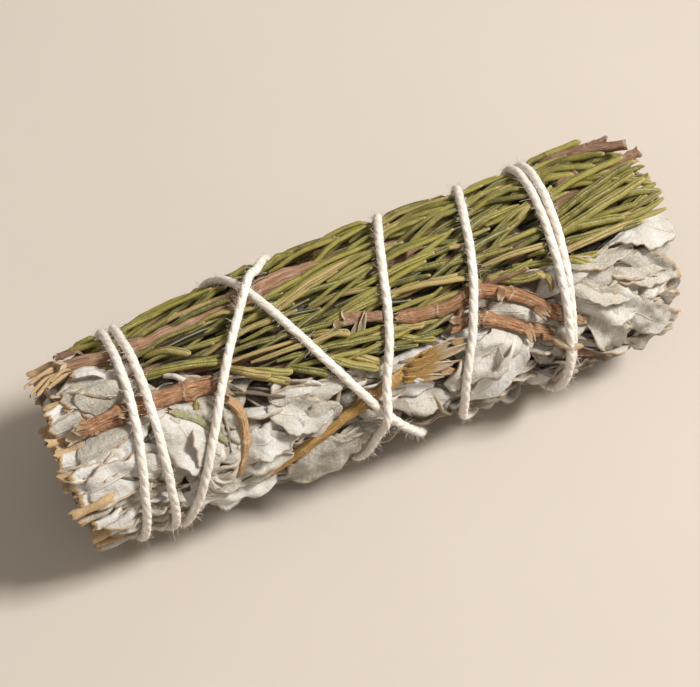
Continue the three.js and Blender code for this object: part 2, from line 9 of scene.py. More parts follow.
import bmesh
import bpy
import numpy as np
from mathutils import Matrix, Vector


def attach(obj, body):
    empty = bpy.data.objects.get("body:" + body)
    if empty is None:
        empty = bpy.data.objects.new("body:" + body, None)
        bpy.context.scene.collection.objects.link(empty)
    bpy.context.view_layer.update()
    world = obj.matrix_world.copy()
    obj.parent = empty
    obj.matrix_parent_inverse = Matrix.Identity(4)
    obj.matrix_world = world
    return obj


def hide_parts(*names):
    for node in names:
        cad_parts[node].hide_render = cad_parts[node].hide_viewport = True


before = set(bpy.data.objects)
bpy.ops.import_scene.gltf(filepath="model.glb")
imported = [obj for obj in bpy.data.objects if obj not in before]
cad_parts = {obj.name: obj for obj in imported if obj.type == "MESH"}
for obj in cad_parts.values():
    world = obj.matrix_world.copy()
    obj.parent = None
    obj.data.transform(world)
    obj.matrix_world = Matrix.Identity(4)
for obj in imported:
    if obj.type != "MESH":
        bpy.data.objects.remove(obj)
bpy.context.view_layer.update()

MM = 0.001
AXIS_HEIGHT = 19.6
SKIN_RADIUS = 18.3
SKIN_LOSS_LEFT = 0.9
SKIN_LOSS_RIGHT = 0.3
BACK_LOSS_LEFT = 2
BACK_MIDDLE = -75
UNDERSIDE_SKIN = 17.2
UNDERSIDE_REACH = 19.3
UNDERSIDE_DROP = 3.4
BULGE = 2.4
ROSEMARY_BULGE = 2.7
TWINE_RADIUS = 0.83
GAP = 0.3
CORE_LEFT = -52
CORE_RIGHT = 49
ROSEMARY_BACK = -95
ARC = math.radians(SKIN_RADIUS)
SEED = 7

# The edge between rosemary and sage on the front: x, angle
ROSEMARY_FRONT = [
    (-62, -8), (-50, -6), (-46, 1), (-38, 8), (-30, 15), (-25, 23), (-19, 33), (-13, 41), (-5, 43), (3, 46),
    (8, 43), (13, 38), (19, 25), (25, 24), (32, 27), (37, 27), (42, 34), (47, 29), (55, 15), (62, 12),
]

# The line of the thick rosemary stem that shows along the top: x, angle
MAIN_STEM = [
    (-58, -34), (-50, -28), (-43, -20), (-36, -17), (-27, -22), (-18, -23), (-9, -31), (1, -31),
    (20, -30), (40, -28), (60, -26),
]

# The twine's route: x, angle (falling all the way, 360 a turn), lift where it rides over an earlier strand
TWINE_ROUTE = [
    (37.2, 226, 0), (37, 200, 0), (36.2, 160, 0), (34.2, 117, 0), (34.6, 90, 0), (35, 65, 0),
    (36.3, 38, 0), (37.8, 12, 0), (39.2, -15, 0), (40.9, -57, 0), (41.2, -80, 0), (40.5, -96, 0),
    (37.2, -109, 0), (26, -125, 0), (14, -141, 0), (9.6, -172, 0), (6.7, -215, 0), (6.4, -243, 0),
    (-3.3, -295, 0), (-10.9, -337, 0), (-15.4, -369, 0), (-18.6, -404, 0), (-20, -420, 0), (-22, -440, 0),
    (-27.5, -460, 0), (-36, -480, 0), (-43, -500, 0), (-46.6, -525, 0), (-47.2, -550, 0),
    (-47.2, -575, 0), (-46.6, -616, 0), (-45.5, -651, 0), (-43.4, -687, 0), (-42.4, -710, 0),
    (-41.8, -744, 0), (-41.3, -775, 0), (-41.6, -805, 0), (-42.2, -832, 0), (-42.5, -844, 0.2),
    (-42.8, -853, 1.9), (-43.2, -868, 1.9), (-43.3, -882, 0.2), (-43.2, -900, 0), (-42.6, -930, 0),
    (-41.1, -972, 0), (-40.9, -1009, 0), (-40.1, -1048, 0), (-39.6, -1074, 0), (-39.5, -1104, 0),
    (-38.9, -1140, 0), (-38.1, -1168, 0), (-37.7, -1181, 0.2), (-37.4, -1194, 1.9), (-37, -1211, 1.9),
    (-36.7, -1225, 0.2), (-36.6, -1250, 0), (-37.4, -1290, 0), (-39.1, -1323, 0), (-35, -1367, 0),
    (-28.6, -1407, 0), (-22.8, -1434, 0), (-19.9, -1446, 0.2), (-17.2, -1455.5, 1.9), (-15.3, -1463, 1.9),
    (-12.9, -1475, 0.3), (-10.4, -1490, 0), (-8.6, -1504, 0), (-7.4, -1522, 0), (-6.6, -1545, 0),
    (-5, -1575, 0), (-4.4, -1610, 0), (-5.2, -1650, 0), (-5.7, -1683, 0), (-3.4, -1712, 0.2),
    (-1.9, -1727.6, 1.9), (-0.5, -1742, 0.2), (3, -1770, 0), (6.2, -1800, 0), (11.6, -1846, 0),
    (13.2, -1864, 0), (13.6, -1890, 0), (13.3, -1924, 0.1), (13.6, -1936, 1.9), (14, -1947, 1.9),
    (14.7, -1961, 0), (17.2, -1985, 0), (18.9, -2013, 0), (18.4, -2027, 0), (16.4, -2038, 0),
    (14.2, -2049, 0), (13.5, -2062, 0), (14.1, -2089, 0), (17.1, -2115, 0), (20.7, -2143, 0),
    (23.8, -2172, 0), (27.5, -2208, 0), (29, -2228, 0), (30.4, -2259, 0.3), (30.9, -2272, 1.95),
    (31.2, -2283, 1.95), (31.5, -2298, 0.2), (32.2, -2330, 0), (32.6, -2370, 0.6), (32.9, -2403, 1.3),
    (33.4, -2430, 1.3), (33.8, -2455, 1.3), (34.8, -2482, 1), (36, -2508, 0.4), (37.3, -2535, 0.1),
    (39, -2577, 0), (39.3, -2600, 0.1), (39.4, -2611, 1), (39.6, -2619, 1.9), (39.7, -2627, 1.7),
    (39.6, -2639, 0.3), (39.4, -2652, 0),
]

# Bare twigs: node, half width, half height, depth of the centreline below the skin, finish, line of
# x and angle
TWIGS = [
    ("brown_twig_1", 1.75, 1.6, 1.75, "bark",
     [(-55, 24.5), (-51.4, 22.5), (-45.1, 21), (-38, 21), (-32, 22), (-27, 24)]),
    ("brown_twig_2", 1.3, 1.3, 1.4, "bark",
     [(5, 25), (10.6, 29), (15.6, 30), (20.6, 27.5), (25.3, 34), (29, 42.5), (33.4, 57), (38.5, 70)]),
    ("brown_twig_3", 1.25, 1.25, 1.35, "bark",
     [(13.5, 44), (17.3, 41), (23, 49.5), (27.2, 59.5), (32, 69)]),
    ("brown_twig_4", 0.95, 0.95, 1.2, "bark", [(33, 80), (36.9, 94), (41, 112)]),
    ("golden_stem", 1.3, 0.7, 0.85, "golden",
     [(-24, 101), (-18.3, 88), (-10.8, 75), (-4.1, 66), (1.8, 59), (7.2, 54), (12, 54)]),
    ("tan_stem", 0.7, 0.7, 0.55, "tan", [(-27.3, 33), (-25.8, 43), (-26, 57), (-28.8, 85)]),
    ("grey_green_stem", 0.75, 0.75, 0.85, "green", [(-37, 29), (-32.4, 42), (-29.4, 59)]),
]

# Millimetres of bare wood at both ends of a twig, where it is more than a little
BARE_ENDS = {"brown_twig_1": (4.0, 0.8), "brown_twig_2": (0.8, 1.4), "golden_stem": (0.5, 2.5)}

# Leaves placed one by one where they show most: base x and angle, tip x and angle, width
PLACED_LEAVES = [
    (-38.5, 27, -35.2, 66, 8), (-31.7, 38, -33.3, 68, 6), (-34, 71, -20.5, 77, 4.5),
    (-36, 81, -22, 87, 5.5), (-38, 90, -23, 106, 7), (-26.5, 64, -17.5, 58, 6), (-19, 43, -8, 45, 5.5),
    (-20, 50, -12, 58, 6), (-16.5, 69, -10.5, 60, 5), (-18.5, 112, -7, 86, 8), (12, 74, 26.5, 55, 8),
    (15.5, 94, 27, 60, 6), (46, 16, 57, 34, 8), (42, 34, 54.5, 50, 5.5), (37, 27, 48, 34, 5),
    (36.5, 37, 47, 56, 8), (44, 44, 55, 56, 6), (37.5, 55, 47.5, 68, 7), (37, 42, 44, 108, 6),
    (44, 60, 54, 92, 7), (46, 104, 56, 114, 6), (-39, 16, -50, 8, 7), (-45, 33, -54, 47, 7),
    (-40, 55, -57, 58, 7),
]

# Rosemary sprigs, front to back: stem span, radius at both ends, depth below the skin at both ends
SPRIGS = [
    ((-22, 50), (0.8, 0.8), (3, 3)),
    ((-33, 52), (0.8, 0.8), (3, 3)),
    ((-45, 57.5), (0.8, 1), (3.2, 2.2)),
    ((-51.2, 57.5), (1.75, 1.1), (0.9, 3)),
    ((-53, 52), (1.1, 0.8), (3, 3)),
    ((-52, 57), (0.9, 1.1), (3, 2.6)),
    ((-50, 51), (0.8, 0.8), (3, 3)),
    ((-49, 50), (0.8, 0.8), (3, 3)),
]
# Layers of needles: range of depth below the skin, step between tracks, spacing along, sides, segments
NEEDLE_LAYERS = [
    ((3.0, 4.2), 2.0, 11, 8, 4),
    ((1.3, 2.8), 1.6, 9, 8, 5),
    ((-1.2, 1.1), 1.45, 8.5, 12, 6),
]

# How light the needles of a layer are, from darkest to lightest: the deeper layers are darkened as painted
# shade, the top layer varies at random
LAYER_SHADE_AND_TONE = [(-0.9, -0.5), (-0.7, 0.1), (0.1, 1)]

# The corners of a needle's section, in degrees: close together by the groove on top
SECTION = (0, 36, 68, 90, 112, 144, 180, 210, 240, 270, 300, 330, 360)

# Needles that show singly: foot x and angle, tip x and angle, dryness, rise, bend
PLACED_NEEDLES = [
    (-22.3, 25, -15.8, 38, 0.6, 0.1, 0.3), (-22.8, 22, -15.0, 33, 0.5, 0.3, 0.2),
    (-15.6, 29, -9.3, 41, 0.2, -0.2, 0), (-9.7, 30, -0.8, 48, 0.4, -0.4, 0.2),
    (-6.7, 32, 0.6, 46, 0.7, 0.1, 0), (-9.9, 17, -3.5, 25, 0.7, -0.5, 0),
    (31.2, 18, 36.7, 23, 0.1, -0.2, 0), (24, 24, 32.5, 31, 0.3, -0.4, 0.3),
    (31.4, 29, 33.2, 42, 0.6, -0.5, -1.0), (4.1, 27, 9.6, 35, 0.9, -0.3, 0),
    (3.3, 33, 10.4, 44, 0.3, -0.1, 0), (-25.2, 18, -19.0, 31, 0.7, -0.2, 0),
    (-39.2, 3, -25.6, 14, 0.1, 0.2, 0), (-37.4, -9, -30.0, 4, 0.6, -0.3, 0),
    (-30.6, 23, -32.8, 35, 0.1, -0.7, 0), (-39, -48, -46.6, -57, 0.0, -0.8, 0),
    (-39.5, -36, -47.9, -52, 0.2, -0.6, 0), (-45, 108, -52.4, 115, 0.0, 0.2, 0),
    (41, -62, 47, -59, 0.1, -1.6, 0), (40, -66, 54.2, -62, 0.1, -1.9, 0),
    (40.5, -45, 53.8, -27, 0.1, -0.8, -0.4), (37.5, -10, 55.7, -17, 0.1, -1.1, 0.2),
    (36.5, 5, 56.9, -11, 0.0, -1.3, 0), (37, 9, 55.6, -4, 0.1, -0.9, 0),
    (37, 14, 56.6, 2, 0.45, -1.2, 0.2), (35.5, 18, 52.9, 24, 0.0, -0.9, 0),
    (36.5, 13, 50.2, 18, 0.1, -0.6, 0), (39, -34, 50.4, -18, 0.0, -0.9, -0.3),
    (37.5, -26, 46.3, -19, 0.1, -0.6, 0), (50.0, 16, 55.9, 10, 0.3, -0.5, 0.4),
    (36, 25, 42.6, 40, 0.0, -0.5, 0), (37, 32, 43.0, 32, 0.1, -0.3, 0),
    (44, -22, 57.9, 5, 0.1, -0.3, 0.4),
]

# Brown stems that end over the needles: start x and angle, end x and angle, radius, rise above the skin
CUT_STEMS = [
    (38, -66, 58.4, -30, 0.85, 0.5), (45, -62, 56.2, -59, 0.75, 0.4), (49, -15, 59.2, -19, 0.75, 0.5),
    (52, -58, 58.2, -56, 0.5, 0.6), (42, -50, 52.5, -44, 0.6, 0.6), (40.5, -16, 46.7, -20, 0.5, 0.5),
    (-43, -52, -49.6, -57, 0.5, 0.3), (-44, -44, -50.4, -52, 0.5, 0.2), (-3, -42, 3.5, -50, 0.45, 0.6),
    (10, -5, 14.5, -8, 0.4, 0.5), (7, 27, -3.6, 15, 1.0, 0.2), (1.5, 21, -5.6, 18, 0.55, 0.5),
    (19.0, 22, 15.4, 40, 1.05, 1.1), (19, 27, 30, 25, 0.5, 0.4), (24.3, 21, 20.5, 28, 0.5, 0.6),
]

# Collars on twigs: how far along in millimetres
COLLARS = {
    "brown_twig_1": (12, 21),
    "brown_twig_2": (7.5, 13, 21.5, 29),
    "brown_twig_3": (6.5, 15.5),
    "tan_stem": (4, 9),
    "golden_stem": (9, 26, 33),
}

# Flakes of torn bark and leaf: x and angle of the foot, heading in degrees, length, width, rise, finish
FLAKES = [
    (-51.0, 23.5, 200, 2.6, 2.2, 0.8, "bark"), (-50.6, 19.5, 170, 2.4, 1.6, 0.9, "tan"),
    (3.5, 57, 5, 9.5, 2.0, 0.5, "golden"), (4.5, 54, -3, 10.5, 1.7, 0.8, "golden"),
    (3, 60, 12, 8, 1.4, 0.5, "golden"), (7, 51, -14, 5.5, 1.4, 0.9, "golden"),
    (29.4, 47, 60, 2.4, 1.6, 1.0, "bark"), (24.6, 31, 130, 2.2, 1.4, 1.0, "bark"),
    (15.8, 39, 200, 2.4, 1.5, 0.9, "bark"), (-28.5, 22, 20, 3.0, 1.6, 0.9, "bark"),
    (-27.6, 27, 60, 2.4, 1.2, 0.9, "tan"), (27, 58, 80, 2.2, 1.4, 0.9, "tan"),
    (-2.5, 29.5, -56, 4.4, 1.15, 1.5, "green"), (-3.4, 27, -50, 2.4, 0.8, 0.7, "green"),
    (10, 62, 30, 4.0, 1.3, 0.4, "tan"), (13, 49, 10, 3.6, 1.2, 0.4, "tan"),
    (-43.5, 24, 190, 2.0, 1.0, 0.8, "bark"),
]

# The pale tip of the front twig, over a strand: x, angle
PALE_TIP = [(29.5, 66), (32.2, 71), (35.8, 75)]

# Torn leaf ends at the left end: end x and angle, inner x and angle, width, curl, depth
LEFT_LEAVES = [
    (-50.2, 15, -41.5, 5, 7, 0.3, 0.1), (-53, 3, -45, 5, 5.5, 0.7, 0.35),
    (-56.4, 10, -48, 3, 3.2, 2.2, 0.4), (-54.4, -6, -46, 0, 3, 1.5, 0.6),
    (-52.7, 45, -43, 30, 6.5, 0.5, 0.2), (-51.4, 48, -44, 37, 2.6, 0.6, -0.4),
    (-57.6, 38, -47, 42, 7.5, 1.3, 0.3), (-56.6, 54, -42, 55, 8, 0.5, 0.0),
    (-57.2, 30, -48, 31, 5, 1.6, 1.2), (-56.5, 18, -47, 16, 5, 1.6, 1.2),
    (-58, 46, -48, 50, 5, 1.8, 1.6), (-56.5, 62, -44, 60, 5, 1.2, 0.8),
    (-55.5, 72, -44, 68, 5, 1.6, 1.0), (-54.5, 84, -43, 80, 5, 1.4, 1.0),
    (-54, 98, -42, 97, 6, 1.4, 0.9), (-53, 112, -40, 108, 6, 1.2, 0.8),
    (-52.5, 128, -40, 126, 7, 1.0, 0.8), (-54, -2, -45, 2, 4, 1.2, 1.4),
]

# Rolled leaves and cut stalks, most of them at the left end: end x and angle, inner x and angle, radius,
# dryness, height
STALKS = [
    (-50.2, -9, -43, 1, 0.68, 0.0, 0.4), (-58.4, 66, -47, 61, 0.85, 0.9, 0.6),
    (-53.4, 64, -48, 69, 0.5, 0.9, 0.5), (-53.2, 88, -45, 74, 0.9, 0.1, 0.6),
    (-55.2, 80, -48, 76, 0.85, 0.2, 0.3), (-57.4, 74, -48, 70, 0.7, 0.5, 0.2),
    (-55.8, 94, -48, 84, 0.85, 0.8, 0.2), (-52, 90, -44, 96, 0.8, 0.1, 0.5),
    (-55, 114, -46, 98, 0.85, 0.3, 0.3), (-57.6, -9, -49.5, -31, 0.36, 0.8, -0.2),
    (-56.6, -6, -49, -28, 0.33, 0.85, 0.2), (-57.8, -18, -50, -34, 0.3, 0.8, 0.2),
    (-54.6, -8, -48, -20, 0.36, 0.9, 0.3), (-57.0, -19, -48, -40, 0.36, 0.75, 0.2),
    (-53.6, -12, -48, -24, 0.3, 0.9, 0.2), (-58.2, 22, -50, 26, 1.05, 0.85, -0.4),
    (-57.6, 30, -50, 32, 0.8, 0.8, -0.5), (-58.4, 43, -50, 46, 0.85, 0.8, -0.6),
    (-58, 52, -50, 54, 0.7, 0.8, -1.2), (-55.5, 104, -46, 104, 0.8, 0.7, 0.0),
    (-54.5, 126, -44, 122, 0.9, 0.5, 0.2), (-56.5, 2, -48, 4, 0.6, 0.9, -0.8),
    (-53.5, 140, -44, 138, 0.8, 0.7, 0.0), (-55.5, -70, -46, -66, 0.7, 0.8, -0.6),
    (-54.5, -90, -45, -88, 0.8, 0.7, -0.3), (-56, 225, -46, 228, 0.9, 0.7, 0.0),
    (-55, 250, -46, 246, 0.8, 0.4, 0.1), (-54.5, 206, -45, 208, 0.9, 0.8, -0.3),
    (31, 30, 35, 38, 0.5, 0.8, 0.6), (7.5, 29, 13.5, 33, 0.9, 0.0, 0.2),
    (46, 52, 41, 60, 0.5, 0.9, 0.6), (33, 71, 34, 92, 0.45, 0.6, 0.5),
    (-33, 83, -36, 66, 0.8, 0.1, 0.7), (-31.5, 62, -32.5, 45, 0.6, 0.1, 0.4),
    (-29, 22, -35.5, 8, 0.55, 0.1, 1.0),
]

# The twine's plies: length of a turn, radius of a ply, distance of its middle from the twine's
PLY_PITCH = 7.0
PLY_RADIUS = 0.66
PLY_OFFSET = 0.18
PLIES = 3

# Loose fibres: how many are tried, their radius, and the height under which they are left out
FUZZ_COUNT = 6500
FUZZ_THICKNESS = 0.03
FUZZ_FLOOR = 2.6

# The knot: x, angle, height of its middle above the skin and its gap, radius of its loops and of the cord in
# them, tilt and heading of each loop in radians, and the lines of its tails
KNOT_X = 38.4
KNOT_ANGLE = 229
KNOT_HEIGHT = 1.75
KNOT_LOOP = 0.95
KNOT_CORD = 0.72
KNOT_TURNS = ((0.5, 0.3), (1.7, 0.9))
KNOT_TAILS = (
    [(38.4, 231), (41.5, 238), (45.5, 240)],
    [(38.4, 231), (35.5, 240), (33.2, 252)],
)

# Where leaves begin to be held back at the right end, and how much further they may reach
LEAF_REACH_RIGHT = 57
LEAF_STOP = 1.6

# Layers of leaves round the sage: seed, rows, columns, ranges of depth, length and width, spread of
# headings, range of lightness (random above zero, darkened below zero as painted shade, most on the
# under leaves), whether the placed leaves are left clear; then thickness and grid
COVER_LAYERS = {
    "sage_under_leaves":
        ((11, 17, 8, (2.4, 3.8), (18, 28), (6, 10), 0.3, (-1, -0.3), False), 0.4, (14, 8)),
    "sage_top_leaves_1":
        ((12, 15, 10, (1.4, 2.8), (11, 19), (4.5, 8), 0.5, (-0.6, 0.7), False), 0.34, (16, 9)),
    "sage_top_leaves_2":
        ((13, 13, 10, (0.4, 1.9), (9, 15), (4, 7), 0.6, (0, 1), True), 0.34, (16, 9)),
}
COVER_LEFT = -47
COVER_RIGHT = 50

# The turn in degrees from one leaf to the next at the ends, which spreads them evenly
GOLDEN_TURN = 137.5

# Needles: the x between which their feet lie, the x that tips may reach, the angle of the last track
NEEDLE_FIRST = -52
NEEDLE_LAST = 51
NEEDLE_REACH = 58.5
NEEDLE_FRONT = 47

# Their ranges of length and width, and how dry they are with the share of each dryness
NEEDLE_LENGTHS = (13, 19.5)
NEEDLE_WIDTHS = (0.88, 1.25)
NEEDLE_DRYNESS = [0, 0.25, 0.6, 1.0]
DRYNESS_SHARES = [0.62, 0.2, 0.1, 0.08]

# The lane whose piece holds the placed needles, and the sides and segments of those
PLACED_LANE = 1
PLACED_GRID = (12, 14)

# The slot of each kind of wood, the node that its flakes are counted with, and the flakes' thickness
WOOD_SLOTS = {"bark": "brown_bark", "golden": "dry_stem", "tan": "dry_stem", "green": "green_stem"}
FLAKE_NODES = {
    "bark": "brown_twig_2",
    "golden": "golden_stem",
    "tan": "tan_stem",
    "green": "grey_green_stem",
}
FLAKE_THICKNESS = 0.2

# Lights: name, azimuth and height in degrees, distance and size in metres, power, colour
LIGHTS = [
    ("window", 69, 52, 1.2, 0.28, 19.5, (1.0, 0.975, 0.945)),
    ("fill", -40, 65, 1.5, 1.0, 2.6, (1.0, 0.98, 0.96)),
]
ROOM_COLOUR = (1.0, 0.90, 0.78, 1)
ROOM_STRENGTH = 0.31

# The camera: angles in degrees, distance in metres, lens and sensor in millimetres
CAMERA_AZIMUTH = -24
CAMERA_HEIGHT = 58
CAMERA_DISTANCE = 0.417
CAMERA_LENS = 120
SENSOR_WIDTH = 36

ROSEMARY_MARGIN = 3
FRONT_LANES = 3
LANE_STARTS = (-24, -34, -46)
LANE_GROWTH = 14


# Bundle maths, on arrays

def smooth(low, high, value):
    t = np.clip((np.asarray(value, float) - low) / (high - low), 0, 1)
    return t * t * (3 - 2 * t)


def lerp(a, b, t):
    return a + (b - a) * t


def along(pairs, x):
    return np.interp(x, [p[0] for p in pairs], [p[1] for p in pairs])


def skin(x, angle):
    x = np.asarray(x, float)
    back = np.cos(np.radians(np.asarray(angle, float) - BACK_MIDDLE))
    loss = np.where(x < 0, SKIN_LOSS_LEFT, SKIN_LOSS_RIGHT) * (x / 55) ** 2
    rounded = SKIN_RADIUS - loss - BACK_LOSS_LEFT * smooth(12, 38, -x) * smooth(0.3, 0.9, back)
    down = -np.cos(np.radians(angle))
    return np.where(down > 0.5, np.minimum(rounded, UNDERSIDE_SKIN / np.maximum(down, 0.5)), rounded)


def place(x, angle, radius):
    """Points in space, in metres, from bundle coordinates."""
    turn = np.radians(angle)
    x, radius, turn = np.broadcast_arrays(x, radius, turn)
    return np.stack([x, -np.sin(turn) * radius, AXIS_HEIGHT + np.cos(turn) * radius], axis=-1) * MM


def turn_between(a, b):
    return (a - b + 180) % 360 - 180


def smooth_line(points, spacing):
    """Points evenly spaced along a centripetal curve through points of x, arc, lift."""
    pts = np.array(points, float)
    ends = [2 * pts[0] - pts[1]], [2 * pts[-1] - pts[-2]]
    p = np.vstack([ends[0], pts, ends[1]])
    out = []
    for a, b, c, d in zip(p, p[1:], p[2:], p[3:]):
        t0, t1, t2 = (max(np.linalg.norm(q - r), 1e-4) ** 0.5 for q, r in ((b, a), (c, b), (d, c)))
        m1 = ((b - a) / t0 - (c - a) / (t0 + t1) + (c - b) / t1) * t1
        m2 = ((c - b) / t1 - (d - b) / (t1 + t2) + (d - c) / t2) * t1
        count = max(2, int(np.linalg.norm(c - b) / spacing * 2))
        t = np.linspace(0, 1, count, endpoint=False)[:, None]
        out.append(b * (2 * t**3 - 3 * t**2 + 1) + m1 * (t**3 - 2 * t**2 + t)
                   + c * (3 * t**2 - 2 * t**3) + m2 * (t**3 - t**2))
    dense = np.vstack(out + [pts[-1:]])
    length = np.concatenate([[0], np.cumsum(np.linalg.norm(np.diff(dense, axis=0), axis=1))])
    steps = np.linspace(0, length[-1], max(3, int(length[-1] / spacing)))
    return np.stack([np.interp(steps, length, dense[:, k]) for k in range(3)], axis=-1)


def flat_line(line):
    return [(item[0], item[1] * ARC, item[2] if len(item) > 2 else 0) for item in line]


STRANDS = smooth_line(flat_line(TWINE_ROUTE), 1.1)
TWIG_LINES = [
    (smooth_line(flat_line(line), 1.0), wide, deep + high)
    for _, wide, high, deep, _, line in TWIGS
]


def line_gap(line, x, angle):
    """The shortest way over the skin from places to a line."""
    dx = np.asarray(x)[:, None] - line[None, :, 0]
    da = turn_between(np.asarray(angle)[:, None], line[None, :, 1] / ARC) * ARC
    return np.sqrt(dx * dx + da * da).min(axis=1)


def facing_down(angle):
    return smooth(0.88, 0.95, -np.cos(np.radians(angle)))


def crown_at(x, angle):
    base = skin(x, angle)
    down = np.maximum(0.5, -np.cos(np.radians(angle)))
    rosemary = smooth(52, 34, np.abs(turn_between(angle, -48)))
    free = lerp(base + lerp(BULGE, ROSEMARY_BULGE, rosemary), UNDERSIDE_REACH / down, facing_down(angle))
    top = lerp(base + 0.1, free, smooth(0.7, 2.6, line_gap(STRANDS, x, angle)))
    for line, wide, low in TWIG_LINES:
        pressed = base - low + 0.4 + 1.6 * np.maximum(0, line_gap(line, x, angle) - wide * 0.8)
        top = np.minimum(top, pressed)
    return top


TABLE_START = -62
TABLE_STEP = 0.5
TABLE_TURN = 1.5
TABLE_ANGLES = np.arange(0, 360 + TABLE_TURN, TABLE_TURN)
CROWN_TABLE = np.array([
    crown_at(np.full_like(TABLE_ANGLES, x), TABLE_ANGLES)
    for x in np.arange(TABLE_START, 1 - TABLE_START, TABLE_STEP)
])

for _ in range(2):
    CROWN_TABLE[1:-1] = (CROWN_TABLE[:-2] + 2 * CROWN_TABLE[1:-1] + CROWN_TABLE[2:]) / 4
    CROWN_TABLE[:, 1:-1] = (CROWN_TABLE[:, :-2] + 2 * CROWN_TABLE[:, 1:-1] + CROWN_TABLE[:, 2:]) / 4


def crown(x, angle):
    """The highest radius that herbs may reach: pressed under a strand or a twig, free elsewhere."""
    x, angle = np.broadcast_arrays(np.asarray(x, float), np.asarray(angle, float))
    row = np.clip((x - TABLE_START) / TABLE_STEP, 0, len(CROWN_TABLE) - 1.001)
    column = (angle % 360) / TABLE_TURN
    i, j = row.astype(int), column.astype(int)
    a, b = row - i, column - j
    j_next = np.minimum(j + 1, CROWN_TABLE.shape[1] - 1)
    near = CROWN_TABLE[i, j] * (1 - b) + CROWN_TABLE[i, j_next] * b
    far = CROWN_TABLE[i + 1, j] * (1 - b) + CROWN_TABLE[i + 1, j_next] * b
    return near * (1 - a) + far * a


def under(limit, radius, softness=0.7):
    """Radii eased under a limit, with their order kept."""
    over = radius - limit + softness
    return np.where(over > 0, limit - softness * np.exp(-np.maximum(over, 0) / softness), radius)


# Building meshes from bent grids

def new_mesh():
    bm = bmesh.new()
    bm.loops.layers.uv.new("UVMap")
    bm.verts.layers.float.new("tone")
    bm.verts.layers.float.new("dry")
    return bm


class Pile:
    """A mesh built up in small batches, because the operators slow down on a large one."""

    BATCH = 2500

    def __init__(self):
        self.whole = new_mesh()
        self.batch = new_mesh()

    def room(self):
        if len(self.batch.verts) > self.BATCH:
            self.pour()
        return self.batch

    def pour(self):
        mesh = bpy.data.meshes.new("batch")
        self.batch.to_mesh(mesh)
        self.batch.free()
        self.whole.from_mesh(mesh)
        bpy.data.meshes.remove(mesh)
        self.batch = new_mesh()


def bent_grid(pile, long, wide, shape, tone=0.5, dry=None):
    """A grid whose points go where shape(u, v) says; u runs along, v across."""
    bm = pile.room()
    made = bmesh.ops.create_grid(bm, x_segments=long, y_segments=wide, size=0.5, calc_uvs=True)["verts"]
    flat = np.array([(v.co.x, v.co.y) for v in made]) + 0.5
    u, v = flat[:, 0], flat[:, 1]
    tones = bm.verts.layers.float["tone"]
    dries = bm.verts.layers.float["dry"]
    dryness = np.zeros_like(u) if dry is None else dry(u, v)
    for vert, spot, dried in zip(made, shape(u, v).tolist(), dryness.tolist()):
        vert.co = spot
        vert[tones] = tone
        vert[dries] = dried
    return made


def bent_tube(pile, long, sides, shape, tone=0.5, dry=None):
    """A grid bent right round into a closed tube; v runs round it."""
    made = bent_grid(pile, long, sides, shape, tone, dry)
    bmesh.ops.remove_doubles(pile.batch, verts=made, dist=1e-7)
    rims = {e for v in made if v.is_valid for e in v.link_edges if e.is_boundary}
    bmesh.ops.holes_fill(pile.batch, edges=list(rims), sides=0)


def finish_mesh(pile, name, material, node, sharp=50):
    """A piece from a pile, in place of a CAD node."""
    pile.pour()
    pile.batch.free()
    bm = pile.whole
    bmesh.ops.recalc_face_normals(bm, faces=bm.faces)
    for face in bm.faces:
        face.smooth = True
    for edge in bm.edges:
        if len(edge.link_faces) == 2 and edge.calc_face_angle(0) > math.radians(sharp):
            edge.smooth = False
    mesh = bpy.data.meshes.new(name)
    bm.to_mesh(mesh)
    bm.free()
    mesh.materials.append(material)
    piece = bpy.data.objects.new(name, mesh)
    bpy.context.collection.objects.link(piece)
    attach(piece, "root")
    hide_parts(node)
    return piece


def add_wall(piece, thickness):
    """Thickness for a piece of open grids, half to each side."""
    wall = piece.modifiers.new("wall", "SOLIDIFY")
    wall.thickness = thickness * MM
    wall.offset = 0


def nearest(u, count):
    """The numbers of the path points nearest to shares of its length."""
    return np.clip(np.rint(u * count).astype(int), 0, count)


# Shader maths

class Value:
    """A node's output that maths works on: an expression adds its Math nodes."""

    def __init__(self, maker, socket):
        self.maker, self.socket = maker, socket

    def _math(self, operation, a, b=0.0):
        return self.maker.node("ShaderNodeMath", {"operation": operation}, {0: a, 1: b})

    def __add__(self, other): return self._math("ADD", self, other)
    def __radd__(self, other): return self._math("ADD", other, self)
    def __sub__(self, other): return self._math("SUBTRACT", self, other)
    def __rsub__(self, other): return self._math("SUBTRACT", other, self)
    def __mul__(self, other): return self._math("MULTIPLY", self, other)
    def __rmul__(self, other): return self._math("MULTIPLY", other, self)
    def abs(self): return self._math("ABSOLUTE", self)
    def sin(self): return self._math("SINE", self)


